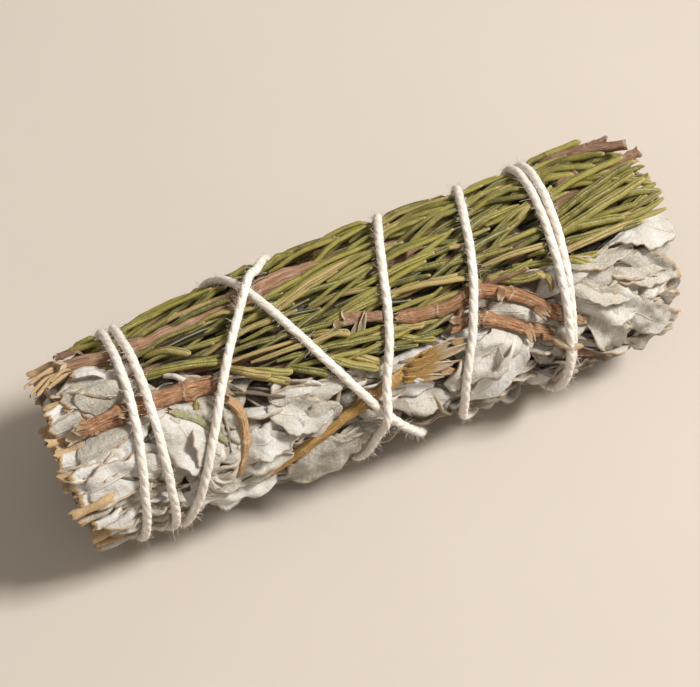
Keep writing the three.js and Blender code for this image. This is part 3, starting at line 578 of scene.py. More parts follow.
class Finish:
    """A material under construction."""

    def __init__(self, name, **shader):
        self.material = bpy.data.materials.new(name)
        self.material.use_nodes = True
        self.tree = self.material.node_tree
        self.shader = self.tree.nodes["Principled BSDF"]
        for socket, value in shader.items():
            self.shader.inputs[socket.replace("_", " ")].default_value = value

    def node(self, kind, settings=None, inputs=None, output=0):
        made = self.tree.nodes.new(kind)
        for key, value in (settings or {}).items():
            setattr(made, key, value)
        for key, value in (inputs or {}).items():
            if isinstance(value, Value):
                self.tree.links.new(value.socket, made.inputs[key])
            elif isinstance(value, tuple) and len(value) == 3 and made.inputs[key].type == "RGBA":
                made.inputs[key].default_value = (*value, 1)
            else:
                made.inputs[key].default_value = value
        return Value(self, made.outputs[output])

    def set(self, socket, value):
        self.tree.links.new(value.socket, self.shader.inputs[socket])

    def object_place(self):
        return self.node("ShaderNodeTexCoord", output="Object")

    def uv(self, scale=(1, 1, 1)):
        raw = self.node("ShaderNodeUVMap", {"uv_map": "UVMap"})
        return self.node("ShaderNodeMapping", {}, {"Vector": raw, "Scale": scale})

    def part(self, vector, axis):
        return self.node("ShaderNodeSeparateXYZ", {}, {0: vector}, axis)

    def layer(self, name):
        return self.node("ShaderNodeAttribute", {"attribute_name": name}, output="Fac")

    def noise(self, vector, scale, detail=3.0, rough=0.55):
        return self.node("ShaderNodeTexNoise", {},
                         {"Vector": vector, "Scale": scale, "Detail": detail, "Roughness": rough}, "Fac")

    def band(self, value, low, high, start=0.0, end=1.0):
        return self.node(
            "ShaderNodeMapRange", {"interpolation_type": "SMOOTHSTEP"},
            {"Value": value, "From Min": low, "From Max": high, "To Min": start, "To Max": end})

    def mix(self, amount, a, b):
        return self.node("ShaderNodeMix", {"data_type": "RGBA"}, {0: amount, 6: a, 7: b}, 2)

    def bump(self, height, distance, strength=1.0, normal=None):
        inputs = {"Height": height, "Distance": distance, "Strength": strength}
        if normal:
            inputs["Normal"] = normal
        return self.node("ShaderNodeBump", {}, inputs)


def sage_finish():
    m = Finish("sage_leaf", Roughness=0.9, Sheen_Weight=0.12, Sheen_Roughness=0.6)
    spot = m.object_place()
    uv = m.uv()
    u, v = m.part(uv, "X"), m.part(uv, "Y")
    patches = m.noise(spot, 330, 5)
    speck = m.noise(spot, 3200, 2)
    side = (v - 0.5).abs() * 2
    level = patches * 0.9 + m.layer("tone") * 0.8 - 0.4
    colour = m.mix(m.band(level, 0.1, 0.9), (0.355, 0.32, 0.255), (0.61, 0.592, 0.56))
    colour = m.mix(m.band(speck, 0.35, 0.7, 0, 0.4), colour, (0.71, 0.69, 0.63))
    rib = m.band(side, 0.0, 0.05, 1, 0)
    branch = m.band((u * 90 + side * 16).sin(), 0.9, 1.0)
    branch = branch * m.band(side, 0.03, 0.2) * m.band(side, 0.7, 0.95, 1, 0)
    colour = m.mix(rib * 0.35, colour, (0.60, 0.55, 0.44))
    rim = m.band(side + (patches - 0.5) * 0.2, 0.90, 1.0) * 0.75
    colour = m.mix(rim, colour, (0.36, 0.25, 0.14))
    # Leaves with lightness below zero, the under layers most, are darkened towards near black: painted shade
    # between the leaves
    colour = m.mix(m.band(m.layer("tone"), -0.9, 0.0, 0.9, 0), colour, (0.10, 0.072, 0.045))
    stain = m.band(m.noise(spot, 750, 4), 0.63, 0.75, 0, 0.6)
    colour = m.mix(stain, colour, (0.33, 0.235, 0.13))
    brown = m.mix(m.noise(spot, 1500, 3), (0.30, 0.17, 0.07), (0.58, 0.42, 0.23))
    dry = m.band(m.layer("dry") + (patches - 0.5) * 0.5, 0.35, 0.75)
    colour = m.mix(dry, colour, brown)
    dots = m.band(m.noise(spot, 2100, 1), 0.75, 0.8, 0, 0.7)
    colour = m.mix(dots, colour, (0.14, 0.09, 0.05))
    m.set("Base Color", colour)
    felt = m.bump(speck, 0.00010, 0.6)
    crumple = m.bump(m.noise(spot, 1000, 4) + rib * 0.35 + branch * 0.08, 0.0004, 0.8, felt)
    m.set("Normal", crumple)
    return m.material


def shaded_core_finish():
    m = Finish("sage_inside_painted_shade", Roughness=0.95)
    spot = m.object_place()
    # The inside is coloured dark brown to near black: painted shade where the leaves hide it from the light
    colour = m.mix(m.band(m.noise(spot, 500, 5), 0.35, 0.7), (0.03, 0.02, 0.012), (0.15, 0.115, 0.075))
    m.set("Base Color", colour)
    m.set("Normal", m.bump(m.noise(spot, 900, 4), 0.0008))
    return m.material


def needle_finish():
    m = Finish("rosemary_needle", Roughness=0.55)
    uv = m.uv()
    spot = m.object_place()
    u, v = m.part(uv, "X"), m.part(uv, "Y")
    streak = m.noise(m.uv((9, 46, 1)), 1.0, 4)
    tone = m.layer("tone")
    level = m.noise(spot, 500, 3) * 0.7 + tone * 0.5 - 0.1
    fresh = m.mix(m.band(level, 0.1, 0.75), (0.055, 0.052, 0.007), (0.32, 0.275, 0.048))
    fresh = m.mix(m.band(streak, 0.42, 0.62, 0, 0.35), fresh, (0.045, 0.045, 0.008))
    # Needles with lightness below zero, the deeper layers, are darkened towards near black: painted shade
    fresh = m.mix(m.band(tone, -0.6, 0.1, 0.75, 0), fresh, (0.02, 0.018, 0.004))
    dried = m.mix(streak, (0.28, 0.19, 0.055), (0.50, 0.38, 0.15))
    wilt = m.band(m.layer("dry") + (m.noise(spot, 260, 3) - 0.5) * 0.5, 0.3, 0.85)
    colour = m.mix(wilt, fresh, dried)
    # A dark line along the groove on top of each needle: painted shade in the groove
    groove_shade = m.band((v - 0.25).abs(), 0.0, 0.05, 1, 0)
    colour = m.mix(groove_shade * 0.75, colour, (0.035, 0.035, 0.008))
    # More painted shade: needles of the deeper layers darkened further
    colour = m.mix(m.band(tone, -0.6, 0.0, 0.6, 0), colour, (0.025, 0.02, 0.006))
    beads = m.noise(m.uv((60, 3, 1)), 1.0, 1)
    # Pale beads in rows along both sides of the groove, left off the darker needles: painted highlight
    rows = m.band(((v - 0.25).abs() - 0.085).abs(), 0.0, 0.04, 1, 0) * m.band(beads, 0.42, 0.62)
    rows = rows * m.band(tone, -0.2, 0.4)
    colour = m.mix(rows * 0.75, colour, (0.56, 0.53, 0.27))
    below = m.band((v - 0.75).abs(), 0.01, 0.05, 1, 0)
    colour = m.mix(below * 0.85, colour, m.mix(beads, (0.25, 0.24, 0.10), (0.46, 0.44, 0.28)))
    ends = m.band(u, 0.955, 1.0) * 0.8
    colour = m.mix(ends, colour, (0.55, 0.42, 0.20))
    m.set("Base Color", colour)
    wrinkles = m.noise(m.uv((34, 2, 1)), 1.0, 2)
    m.set("Normal", m.bump(streak + wrinkles * 0.8 + m.noise(spot, 3000, 2) * 0.5, 0.00016, 0.8))
    return m.material


def bark_finish(name, dark, light, pale, wood=(0.80, 0.64, 0.43)):
    m = Finish(name, Roughness=0.85)
    spot = m.object_place()
    fibres = m.noise(m.uv((7, 26, 1)), 1.0, 6, 0.65)
    cracks = m.noise(m.uv((14, 70, 1)), 1.0, 4, 0.6)
    plates = m.noise(m.uv((30, 9, 1)), 1.0, 3, 0.5)
    colour = m.mix(m.band(fibres, 0.3, 0.7), dark, light)
    colour = m.mix(m.band(plates, 0.55, 0.7, 0, 0.5), colour, light)
    colour = m.mix(m.band(cracks, 0.54, 0.68, 0, 0.8), colour, pale)
    colour = m.mix(m.band(m.noise(spot, 420, 4), 0.58, 0.72, 0, 0.6), colour, pale)
    # Splits in the bark, which are real, coloured near black as painted shade inside them
    shaded_splits = m.band(m.noise(m.uv((5, 34, 1)), 1.0, 3), 0.32, 0.40, 0.85, 0)
    colour = m.mix(shaded_splits, colour, (0.04, 0.02, 0.012))
    bare = m.mix(cracks, m.mix(fibres, (0.45, 0.27, 0.12), wood), wood)
    colour = m.mix(m.band(m.layer("dry"), 0.3, 0.7), colour, bare)
    m.set("Base Color", colour)
    m.set("Normal", m.bump(fibres + cracks * 0.7 + plates * 0.5 - shaded_splits * 0.8, 0.0007, 0.9))
    return m.material


def twine_finish():
    m = Finish("cotton", Roughness=0.95, Sheen_Weight=0.25, Sheen_Roughness=0.5)
    fibres = m.noise(m.uv((900, 6, 1)), 1.0, 4, 0.6)
    spot = m.object_place()
    colour = m.mix(m.band(fibres, 0.25, 0.7), (0.71, 0.63, 0.545), (0.88, 0.81, 0.735))
    colour = m.mix(m.band(m.noise(spot, 300, 3), 0.5, 0.8, 0, 0.3), colour, (0.74, 0.63, 0.53))
    m.set("Base Color", colour)
    m.set("Normal", m.bump(fibres, 0.0002, 0.7))
    return m.material


def floor_finish():
    m = Finish("floor", Roughness=0.85)
    spot = m.object_place()
    m.set("Base Color", m.mix(m.noise(spot, 14, 4), (0.51, 0.455, 0.395), (0.55, 0.495, 0.435)))
    return m.material


# The sage

def ease_into_sage(x, angle, margin):
    """Angles near the rosemary's edges are eased back, so that leaves only tuck under it by a margin."""
    room = 12
    front = along(ROSEMARY_FRONT, x) - margin
    back = ROSEMARY_BACK + 360 + margin
    into = angle - front
    eased = np.where(into < room, front + room * np.exp(np.minimum(0, into - room) / room), angle)
    left = back - eased
    return np.where(left < room, back - room * np.exp(np.minimum(0, left - room) / room), eased)


def leaf_shape(leaf):
    """Where a leaf's points go: outline, curled sides, roll, crumples and lift, then onto the bundle."""
    steps = (np.arange(8) + 0.5) / 8
    rng = leaf["rng"]
    crumples = [(rng.uniform(0.4, 1.3), rng.uniform(0, 6.3), rng.uniform(0, 6.3)) for _ in range(5)]
    jags = rng.uniform(0, 6.3, 3)

    def shape(u, v):
        side = v * 2 - 1
        t = np.abs(side)
        along_leaf = lerp(leaf["cut"][0], leaf["cut"][1], u)
        outline = np.sin(np.pi * np.clip(0.04 + 0.935 * along_leaf ** leaf["taper"], 0, 1)) ** 0.72
        notches = np.sin(u * 19 + leaf["phase"]) + 0.8 * np.sin(u * 41 + jags[0])
        ragged = 1 + leaf["ragged"] * notches * t**4
        half = leaf["width"] / 2 * outline * ragged
        right = side > 0
        fold = np.where(right, leaf["fold"][0], leaf["fold"][1])
        curl = np.where(right, leaf["curl"][0], leaf["curl"][1])
        curl = curl * (0.4 + 0.9 * np.sin(np.pi * u + leaf["phase"]) ** 2)
        inner = t[:, None] * steps[None, :]
        bend = fold[:, None] + leaf["cup"] * inner + curl[:, None] * inner**3
        across = half * t * np.cos(bend).mean(axis=1) * np.sign(side)
        height = half * t * np.sin(bend).mean(axis=1)
        height = height + leaf["ripple"] * t**2 * np.sin(u * leaf["waves"] + side * 1.5 + leaf["phase"])
        roll = leaf["roll"] + leaf["twist"] * (u - 0.5)
        across, height = (across * np.cos(roll) - height * np.sin(roll),
                          across * np.sin(roll) + height * np.cos(roll))
        forward = (u - 0.5) * leaf["length"]
        for index, (rate, heading, phase) in enumerate(crumples):
            wave = rate * (forward * math.cos(heading) + across * math.sin(heading) * 1.8) + phase
            wave = 0.8 - 2.2 * np.abs(np.sin(wave / 2)) ** 0.8 if index % 2 else np.sin(wave)
            height = height + leaf["crumple"] * 0.17 / rate**0.5 * wave
        torn = np.sin(side * 3.1 + jags[1]) + 0.5 * np.sin(side * 8 + jags[2])
        torn = torn + 0.25 * np.sin(side * 19 + jags[0])
        forward = forward + leaf["torn"][0] * torn * smooth(0.25, 0, u)
        forward = forward + leaf["torn"][1] * torn * smooth(0.75, 1, u)
        height = height + leaf["lift"] * (u - 0.3) + leaf["arch"] * np.sin(np.pi * u)
        height = height + leaf["tip"] * np.maximum(0, (u - 0.7) / 0.3) ** 2
        across = across + leaf["bow"] * (1 - (2 * u - 1) ** 2)
        x = leaf["x"] + forward * math.cos(leaf["turn"]) - across * math.sin(leaf["turn"])
        arc = forward * math.sin(leaf["turn"]) + across * math.cos(leaf["turn"])
        own = np.maximum(6, skin(x, leaf["angle"]) - leaf["depth"])
        angle = leaf["angle"] + np.degrees(arc / own)
        settle = 0
        if leaf["tucked"] is not None:
            angle = ease_into_sage(x, angle, leaf["tucked"])
            settle = UNDERSIDE_DROP * facing_down(angle)
        radius = skin(x, angle) - leaf["depth"] + height + settle
        reach = leaf["reach"]
        x = np.where(x < reach, reach - 1 + np.exp(np.minimum(0, x - reach)), x)
        past = LEAF_STOP * (1 - np.exp((LEAF_REACH_RIGHT - x) / LEAF_STOP))
        x = np.where(x > LEAF_REACH_RIGHT, LEAF_REACH_RIGHT + past, x)
        return place(x, angle, np.maximum(0.3, under(crown(x, angle), radius)))

    return shape


def leaf_values(rng, x, angle, turn, length, width, depth, tucked=3.0, **given):
    """A leaf's numbers, drawn where none are given."""
    curls = [0, 0, 0.5, 1.4, 2.6, -0.9, -1.8]
    steep = rng.random() < 0.38
    leaf = dict(
        rng=rng, x=x, angle=angle, turn=turn, length=length, width=width, depth=depth, tucked=tucked,
        cut=(0.0, 1.0), torn=(0.0, 0.0), reach=-53.5, ragged=0.055,
        taper=rng.uniform(0.8, 1.25), phase=rng.uniform(0, 6.3),
        fold=(rng.uniform(-0.35, 0.45), rng.uniform(-0.35, 0.45)),
        curl=(rng.choice(curls), rng.choice(curls)),
        cup=rng.uniform(-0.3, 0.6), ripple=rng.uniform(0.1, 0.7), waves=rng.uniform(6, 16),
        roll=rng.choice([-1, 1]) * rng.uniform(0.6, 1.2) if steep else rng.normal(0, 0.3),
        twist=rng.uniform(-0.7, 0.7), crumple=rng.uniform(0.8, 1.9), lift=rng.uniform(0.0, 1.4),
        arch=rng.uniform(-0.3, 0.8), tip=rng.uniform(-0.8, 0.8), bow=rng.uniform(-1.2, 1.2),
        tone=rng.uniform(0, 1),
    )
    leaf.update(given)
    return leaf


def build_leaves(name, leaves, thickness, grid):
    pile = Pile()
    for leaf in leaves:
        torn = leaf["torn"]

        def dryness(u, v):
            return (torn[0] > 0) * smooth(0.10, 0, u) + (torn[1] > 0) * smooth(0.90, 1, u)

        bent_grid(pile, *grid, leaf_shape(leaf), leaf["tone"], dryness)
    piece = finish_mesh(pile, name, SAGE, "sage_leaves")
    add_wall(piece, thickness)


# The middles of the placed leaves, x and angle, and the room that is kept clear round them
PLACED_MIDDLES = [
    ((x0 + x1) / 2, (a0 + a1) / 2, 1.2 + width / 5)
    for x0, a0, x1, a1, width in PLACED_LEAVES
]


def cover_leaves(seed, rows, columns, depth, length, width, spread, tone, clear):
    """A layer of leaves in staggered rows round the sage, each a little off its place."""
    rng = np.random.default_rng(seed)
    leaves = []
    for row in range(rows):
        for column in range(columns):
            share = (column + 0.5 * (row % 2)) / (columns - 0.5)
            x = lerp(COVER_LEFT, COVER_RIGHT, share) + rng.uniform(-3.5, 3.5)
            front = along(ROSEMARY_FRONT, x) + 3
            angle = lerp(front, ROSEMARY_BACK + 357, row / (rows - 1)) + rng.uniform(-4, 4)
            turn = rng.normal(0.1, spread) + (math.pi if rng.random() < 0.25 else 0)
            near = min(
                math.hypot(x - middle_x, (angle - middle) * ARC) - room
                for middle_x, middle, room in PLACED_MIDDLES)
            if clear and near < 0:
                continue
            leaves.append(leaf_values(
                rng, x, angle, turn, rng.uniform(*length), rng.uniform(*width), rng.uniform(*depth),
                tone=rng.uniform(*tone)))
    return leaves


def placed_leaves():
    """The leaves of PLACED_LEAVES, each from its base to its tip."""
    rng = np.random.default_rng(SEED)
    leaves = []
    for base_x, base_angle, tip_x, tip_angle, width in PLACED_LEAVES:
        arc = (tip_angle - base_angle) * ARC
        leaves.append(leaf_values(
            rng, (base_x + tip_x) / 2, (base_angle + tip_angle) / 2, math.atan2(arc, tip_x - base_x),
            math.hypot(tip_x - base_x, arc) + 3, width * 1.1, -0.1, roll=rng.uniform(-0.2, 0.2),
            lift=rng.uniform(0.2, 1.0), twist=rng.uniform(-0.2, 0.2),
            curl=(rng.uniform(0, 1.6), rng.uniform(-0.5, 0.5)), crumple=rng.uniform(0.8, 1.4),
            fold=(rng.uniform(0.0, 0.6), rng.uniform(-0.3, 0.3)), ragged=0.09,
            tone=rng.uniform(-0.05, 0.85)))
    return leaves


def tip_leaves():
    """Leaves inside the right end, whose tips stand out of it."""
    rng = np.random.default_rng(SEED + 3)
    leaves = []
    count = 80
    for i in range(count):
        depth = lerp(0.8, 16, (1 - math.sqrt((i + 0.5) / count)))
        angle = i * GOLDEN_TURN % 360
        if depth < 7 and abs(turn_between(angle, -38)) < 62:
            continue
        leaves.append(leaf_values(
            rng, rng.uniform(45, 49), angle, rng.uniform(-0.25, 0.25), 18, rng.uniform(6, 10), depth,
            tucked=None, lift=0, ragged=0.08, cut=(0, 0.88), torn=(0, rng.uniform(0.1, 0.45)), crumple=1.8))
    return leaves


def cut_leaves():
    """Folded and rolled leaves whose torn ends show at the left end."""
    rng = np.random.default_rng(SEED + 4)
    leaves = []
    count = 90
    for i in range(count):
        depth = lerp(0.8, 15.5, (1 - math.sqrt((i + 0.5) / count)))
        angle = i * GOLDEN_TURN % 360
        if depth < 5 and -50 < turn_between(angle, -50) < 45:
            continue
        x_end = CORE_LEFT - rng.uniform(-0.5, 3.2)
        length = rng.uniform(11, 16)
        leaves.append(leaf_values(
            rng, x_end + length / 2, angle, rng.normal(0, 0.12), length, rng.uniform(4.5, 9), depth,
            tucked=None, reach=-56,
            cut=(0.25, 0.8), torn=(rng.uniform(0.15, 0.45), 0), ragged=0.04, roll=rng.normal(0, 0.7),
            curl=(rng.choice([0.5, 1.2, 2.4]), rng.choice([-0.8, 0.4, 1.4])), lift=rng.uniform(-1, 0.3)))
    return leaves


def marked_leaves():
    """The torn leaf ends of LEFT_LEAVES, each from its end inwards."""
    rng = np.random.default_rng(SEED + 5)
    leaves = []
    for end_x, end_angle, inner_x, inner_angle, width, curl, depth in LEFT_LEAVES:
        arc = (inner_angle - end_angle) * ARC
        length = math.hypot(inner_x - end_x, arc) * 1.25
        turn = math.atan2(arc, inner_x - end_x)
        leaves.append(leaf_values(
            rng, end_x + math.cos(turn) * length / 2, end_angle + math.sin(turn) * length / 2 / ARC, turn,
            length, width, depth, cut=(0.25, 0.95), torn=(0.4, 0), reach=-58, ragged=0.05,
            roll=rng.normal(0, 0.12), curl=(curl, 0.4 * curl), fold=(0.2, 0.1), twist=0.2,
            lift=-0.9, tip=-0.6, bow=0, crumple=0.7))
    return leaves


def build_stalks():
    """Rolled leaves and stalks with hollow torn ends."""
    rng = np.random.default_rng(SEED + 6)
    pile = Pile()
    hollow, rim = 1.3, 0.12
    for end_x, end_angle, inner_x, inner_angle, radius, dryness, height in STALKS:
        arc = (inner_angle - end_angle) * ARC
        length = math.hypot(inner_x - end_x, arc)
        ahead = ((inner_x - end_x) / length, arc / length)
        phase, bow = rng.uniform(0, 6.3), rng.normal(0, 0.25)

        def shape(u, v):
            turn = v * 2 * np.pi
            inside = u < rim
            run = np.where(inside, hollow * (1 - u / rim), (u - rim) / (1 - rim) * length)
            torn = 0.3 * np.sin(turn * 3 + phase) + 0.2 * np.sin(turn * 7 + phase)
            run = run + torn * smooth(2.5, 0, run)
            thick = radius * np.where(inside, 0.35 + 0.5 * u / rim, 1 + 0.12 * np.sin(run * 1.1 + phase))
            dents = 1 + 0.1 * np.sin(turn * 2 + phase + run * 0.3) + 0.07 * np.sin(turn * 5 + phase)
            thick = thick * dents
            across = np.cos(turn) * thick + bow * np.sin(np.pi * np.clip(run / length, 0, 1))
            x = end_x + ahead[0] * run - ahead[1] * across
            angle = end_angle + (ahead[1] * run + ahead[0] * across) / ARC
            middle = end_angle + ahead[1] * run / ARC
            sunk = (2.4 if radius > 0.45 else 1.2) * smooth(0.45, 1.0, run / length)
            centre = skin(x, middle) + height - sunk
            centre = under(crown(x, middle) - radius * 0.3, centre, 0.6)
            return place(x, angle, centre + np.sin(turn) * thick)

        def dried(u, v):
            return np.maximum(dryness, smooth(0.27, 0.14, u))

        bent_tube(pile, 18, 12, shape, rng.uniform(0, 1), dried)
    finish_mesh(pile, "sage_stalks", SAGE, "sage_leaves", sharp=60)


def build_core():
    """The inside of the sage, behind the leaves, coloured near black as painted shade."""
    pile = Pile()

    def shape(u, v):
        angle = v * 360
        x = lerp(CORE_LEFT, CORE_RIGHT, np.clip((u - 0.04) / 0.92, 0, 1))
        front = along(ROSEMARY_FRONT, x)
        into = np.minimum((angle - front) % 360, (ROSEMARY_BACK + 720 - angle) % 360)
        depth = lerp(6.2, 3.2, smooth(0, 9, into)) + 0.5 * np.sin(x * 0.9 + angle * 0.11)
        radius = (skin(x, angle) - depth) * smooth(0, 0.04, u) ** 0.5 * smooth(0, 0.04, 1 - u) ** 0.5
        return place(x, angle, radius)

    bent_tube(pile, 90, 90, shape)
    finish_mesh(pile, "sage_shade_core", SHADED_INSIDE, "sage_leaves")


# The rosemary

def lane_edges(x):
    """The angles at which the sprigs' lanes start and end, front to back: an array of lanes by places."""
    x = np.atleast_1d(np.asarray(x, float))
    front = along(ROSEMARY_FRONT, x) - ROSEMARY_MARGIN
    stem = along(MAIN_STEM, x)
    half = lerp(6, 8, smooth(-40, -10, x))
    shares = np.array([smooth(start, start + LANE_GROWTH, x) for start in LANE_STARTS])
    total = shares.sum(axis=0) + 1e-6
    edges = [front]
    for share in shares:
        edges.append(edges[-1] - (front - stem - half) * share / total)
    edges[FRONT_LANES] = stem + half
    back_lanes = len(SPRIGS) - FRONT_LANES - 1
    for lane in range(back_lanes + 1):
        edges.append(lerp(stem - half, ROSEMARY_BACK, lane / back_lanes))
    return np.array(edges)


def lane_middle(lane, x):
    edges = lane_edges(x)
    return (edges[lane] + edges[lane + 1]) / 2


def needle_shape(rng, start, end, rise, deep, width, roll, bend=0.0):
    """A narrow leaf with a grooved top and rolled edges, from its foot inside to its blunt tip."""
    (x0, angle0), (x1, angle1) = start, end
    arc0, arc1 = angle0 * ARC, angle1 * ARC
    length = math.hypot(x1 - x0, arc1 - arc0)
    ahead = ((x1 - x0) / length, (arc1 - arc0) / length)
    bow = rng.normal(0, 0.22) + bend
    hump = rng.uniform(-0.3, 0.5)
    wobble = rng.uniform(0, 6.3)
    cosine, sine = math.cos(roll), math.sin(roll)

    def shape(u, v):
        sway = bow * np.sin(np.pi * u) + 0.06 * np.sin(u * length * 0.9 + wobble)
        turn = np.radians(np.interp(v * 12, np.arange(13), SECTION)) + 0.25 * np.sin(u * 3 + wobble)
        wide = width / 2 * smooth(-0.15, 0.12, u) * (1 - 0.55 * smooth(0.93, 1.0, u) ** 2)
        wide = wide * (1 + 0.05 * np.sin(u * length * 1.3 + wobble))
        across = np.cos(turn) * wide
        up = np.sin(turn) * wide * 0.92
        channel = np.exp(-(np.cos(turn) / 0.24) ** 2) * wide
        up = up - np.where(np.sin(turn) > 0, 0.36, -0.3) * channel
        across, up = (across * cosine - up * sine, across * sine + up * cosine)
        x = lerp(x0, x1, u) - ahead[1] * (sway + across)
        angle = (lerp(arc0, arc1, u) + ahead[0] * (sway + across)) / ARC
        middle_x = lerp(x0, x1, u) - ahead[1] * sway
        middle = (lerp(arc0, arc1, u) + ahead[0] * sway) / ARC
        centre = skin(middle_x, middle) - lerp(deep, rise, smooth(0, 0.5, u)) + hump * np.sin(np.pi * u)
        centre = under(crown(middle_x, middle) - width * 0.3, centre, 0.6)
        return place(x, angle, centre + up)

    return shape


def needle_list():
    """Needles in layers of tracks along the rosemary: from deep ones to those on top."""
    rng = np.random.default_rng(SEED + 50)
    needles = []
    for level, (rises, step, spacing, sides, segments) in enumerate(NEEDLE_LAYERS):
        arc = ROSEMARY_BACK * ARC + 1 + level * 0.4
        while arc < NEEDLE_FRONT * ARC:
            x = NEEDLE_FIRST + rng.uniform(0, spacing)
            while x < NEEDLE_LAST:
                length = rng.uniform(*NEEDLE_LENGTHS)
                lean = rng.normal(-0.05, 0.17) + (rng.normal(0, 0.3) if rng.random() < 0.25 else 0)
                start = x, (arc + rng.normal(0, 0.3)) / ARC
                end_x = min(NEEDLE_REACH, x + length * math.cos(lean))
                end_angle = start[1] + (end_x - x) * math.tan(lean) / ARC
                rise_end = float(smooth(50, 57, end_x) * smooth(2, -18, end_angle))
                over = rng.uniform(0, 9) if level == 2 else -1
                end_angle = min(end_angle, float(along(ROSEMARY_FRONT, end_x)) + over)
                end = end_x, max(end_angle, ROSEMARY_BACK + 1)
                rise_back = 1.5 * float(smooth(40, 50, end_x) * smooth(-44, -56, end_angle))
                rise = rng.uniform(*rises) + rise_back + rise_end
                dry = rng.choice(NEEDLE_DRYNESS, p=DRYNESS_SHARES)
                deep = rise + rng.uniform(1.4, 2.4)
                width = rng.uniform(*NEEDLE_WIDTHS) * lerp(0.92, 1.1, (x + 50) / 100)
                roll = rng.choice([0, math.pi], p=[0.65, 0.35]) + rng.normal(0, 0.45)
                tone = rng.uniform(*LAYER_SHADE_AND_TONE[level])
                needle = (start, end, rise, deep, width, roll, tone, dry, sides, segments)
                if fits(needle, level, rng):
                    needles.append(needle)
                x += spacing * rng.uniform(0.8, 1.2)
            arc += step
    return needles


def fits(needle, level, rng):
    """Whether a needle starts behind the edge, is long and straight enough, and is off the bare stem.

    A few may still cross the stem, and so may the deepest layer.
    """
    (x0, angle0), (x1, angle1) = needle[:2]
    if angle0 > along(ROSEMARY_FRONT, x0) - 1 or x1 - x0 < 6 or abs(angle1 - angle0) * ARC > 7:
        return False
    spots = np.linspace(0.35, 1, 5)
    x, angle = lerp(x0, x1, spots), lerp(angle0, angle1, spots)
    on_stem = (np.abs(angle - along(MAIN_STEM, x)) * ARC < 1.9) & ((x < 0) | (x > 49))
    return level == 0 or not on_stem.any() or rng.random() < 0.12


def add_needle(pile, rng, needle, bend=0.0):
    start, end, rise, deep, width, roll, tone, dry, sides, segments = needle
    shape = needle_shape(rng, start, end, rise, deep, width, roll, bend)
    bent_tube(pile, segments, sides, shape, tone, lambda u, v: np.full_like(u, dry))


def build_needles(needles):
    """The needles of each sprig, by the lane in which they start."""
    lanes = [[] for _ in SPRIGS]
    for needle in needles:
        x, angle = needle[0]
        edges = lane_edges(x)[:, 0]
        inside = [lane for lane in range(len(SPRIGS)) if edges[lane] >= angle > edges[lane + 1]]
        lanes[inside[0] if inside else 0].append(needle)
    for lane, own in enumerate(lanes):
        rng = np.random.default_rng(SEED + 100 * (lane + 1))
        pile = Pile()
        for needle in own:
            add_needle(pile, rng, needle)
        if lane == PLACED_LANE:
            for x0, angle0, x1, angle1, dry, rise, bend in PLACED_NEEDLES:
                width, tone = rng.uniform(1.25, 1.55), rng.uniform(0.3, 1)
                ends = ((x0, angle0), (x1, angle1))
                look = (width, 0.2, tone, dry)
                add_needle(pile, rng, (*ends, rise, rise + 1.4, *look, *PLACED_GRID), bend)
        finish_mesh(pile, f"needles_{lane + 1}", NEEDLE, f"rosemary_sprig_{lane + 1}", sharp=60)


def build_stem(lane):
    """A sprig's woody stem, with torn pale wood at its cut ends."""
    span, radius, depth = SPRIGS[lane]
    pile = Pile()

    def shape(u, v):
        x = lerp(span[0], span[1], u)
        ease = smooth(0.3, 0.6, u)
        turn = v * 2 * np.pi
        flutes = 1 + 0.08 * np.sin(x * 1.3) + 0.07 * np.sin(turn * 5 + x * 0.5)
        knots = 1 + 0.16 * np.maximum(0, np.sin(x * 0.72 + lane)) ** 10
        knots = knots + 0.18 * smooth(7, 0, x - span[0])
        thick = lerp(radius[0], radius[1], ease) * flutes * knots
        thick = thick * (1 + 0.08 * np.sin(turn * 3 + x * 1.7) * np.sin(x * 2.1 + lane))
        angle = lane_middle(lane, x) + np.cos(turn) * thick / ARC
        centre = skin(x, angle) - lerp(depth[0], depth[1], ease)
        rough = 0.35 * (np.sin(turn * 2 + lane) + np.sin(turn * 5))
        rough = rough * (smooth(0.96, 1, u) - smooth(0.04, 0, u))
        return place(x + rough, angle, centre + np.sin(turn) * thick)

    def dryness(u, v):
        return smooth(0.985, 0.995, u) + smooth(0.016, 0.006, u)

    bent_tube(pile, 160, 20, shape, 0.5, dryness)
    sprig = lane + 1
    finish_mesh(pile, f"rosemary_stem_{sprig}", STEM_BARK, f"rosemary_sprig_{sprig}", sharp=60)


def build_cut_stems():
    """Short brown stems that end over the needles."""
    rng = np.random.default_rng(SEED + 8)
    pile = Pile()
    for x0, angle0, x1, angle1, radius, rise in CUT_STEMS:
        phase = rng.uniform(0, 6.3)
        length = math.hypot(x1 - x0, (angle1 - angle0) * ARC)

        def shape(u, v):
            turn = v * 2 * np.pi
            grain = 1 + 0.1 * np.sin(u * length * 1.1 + phase) + 0.09 * np.sin(turn * 4 + phase + u * 3)
            knots = 1 + 0.3 * np.maximum(0, np.sin(u * 7 + phase)) ** 12
            thick = radius * grain * (1 + 0.25 * smooth(0.93, 1, u)) * knots
            x = lerp(x0, x1, u) + 0.3 * np.sin(turn * 2 + phase) * smooth(0.95, 1, u) * np.sign(x1 - x0)
            angle = lerp(angle0, angle1, u) + np.cos(turn) * thick / ARC
            centre = skin(x, angle) + rise - 3 * smooth(0.45, 0, u)
            return place(x, angle, under(crown(x, angle) + 0.4, centre, 0.6) + np.sin(turn) * thick)

        bent_tube(pile, 24, 14, shape, 0.5, lambda u, v: smooth(0.955, 0.985, u))
    finish_mesh(pile, "rosemary_cut_stems", STEM_BARK, "rosemary_sprig_5", sharp=60)


# Bare twigs

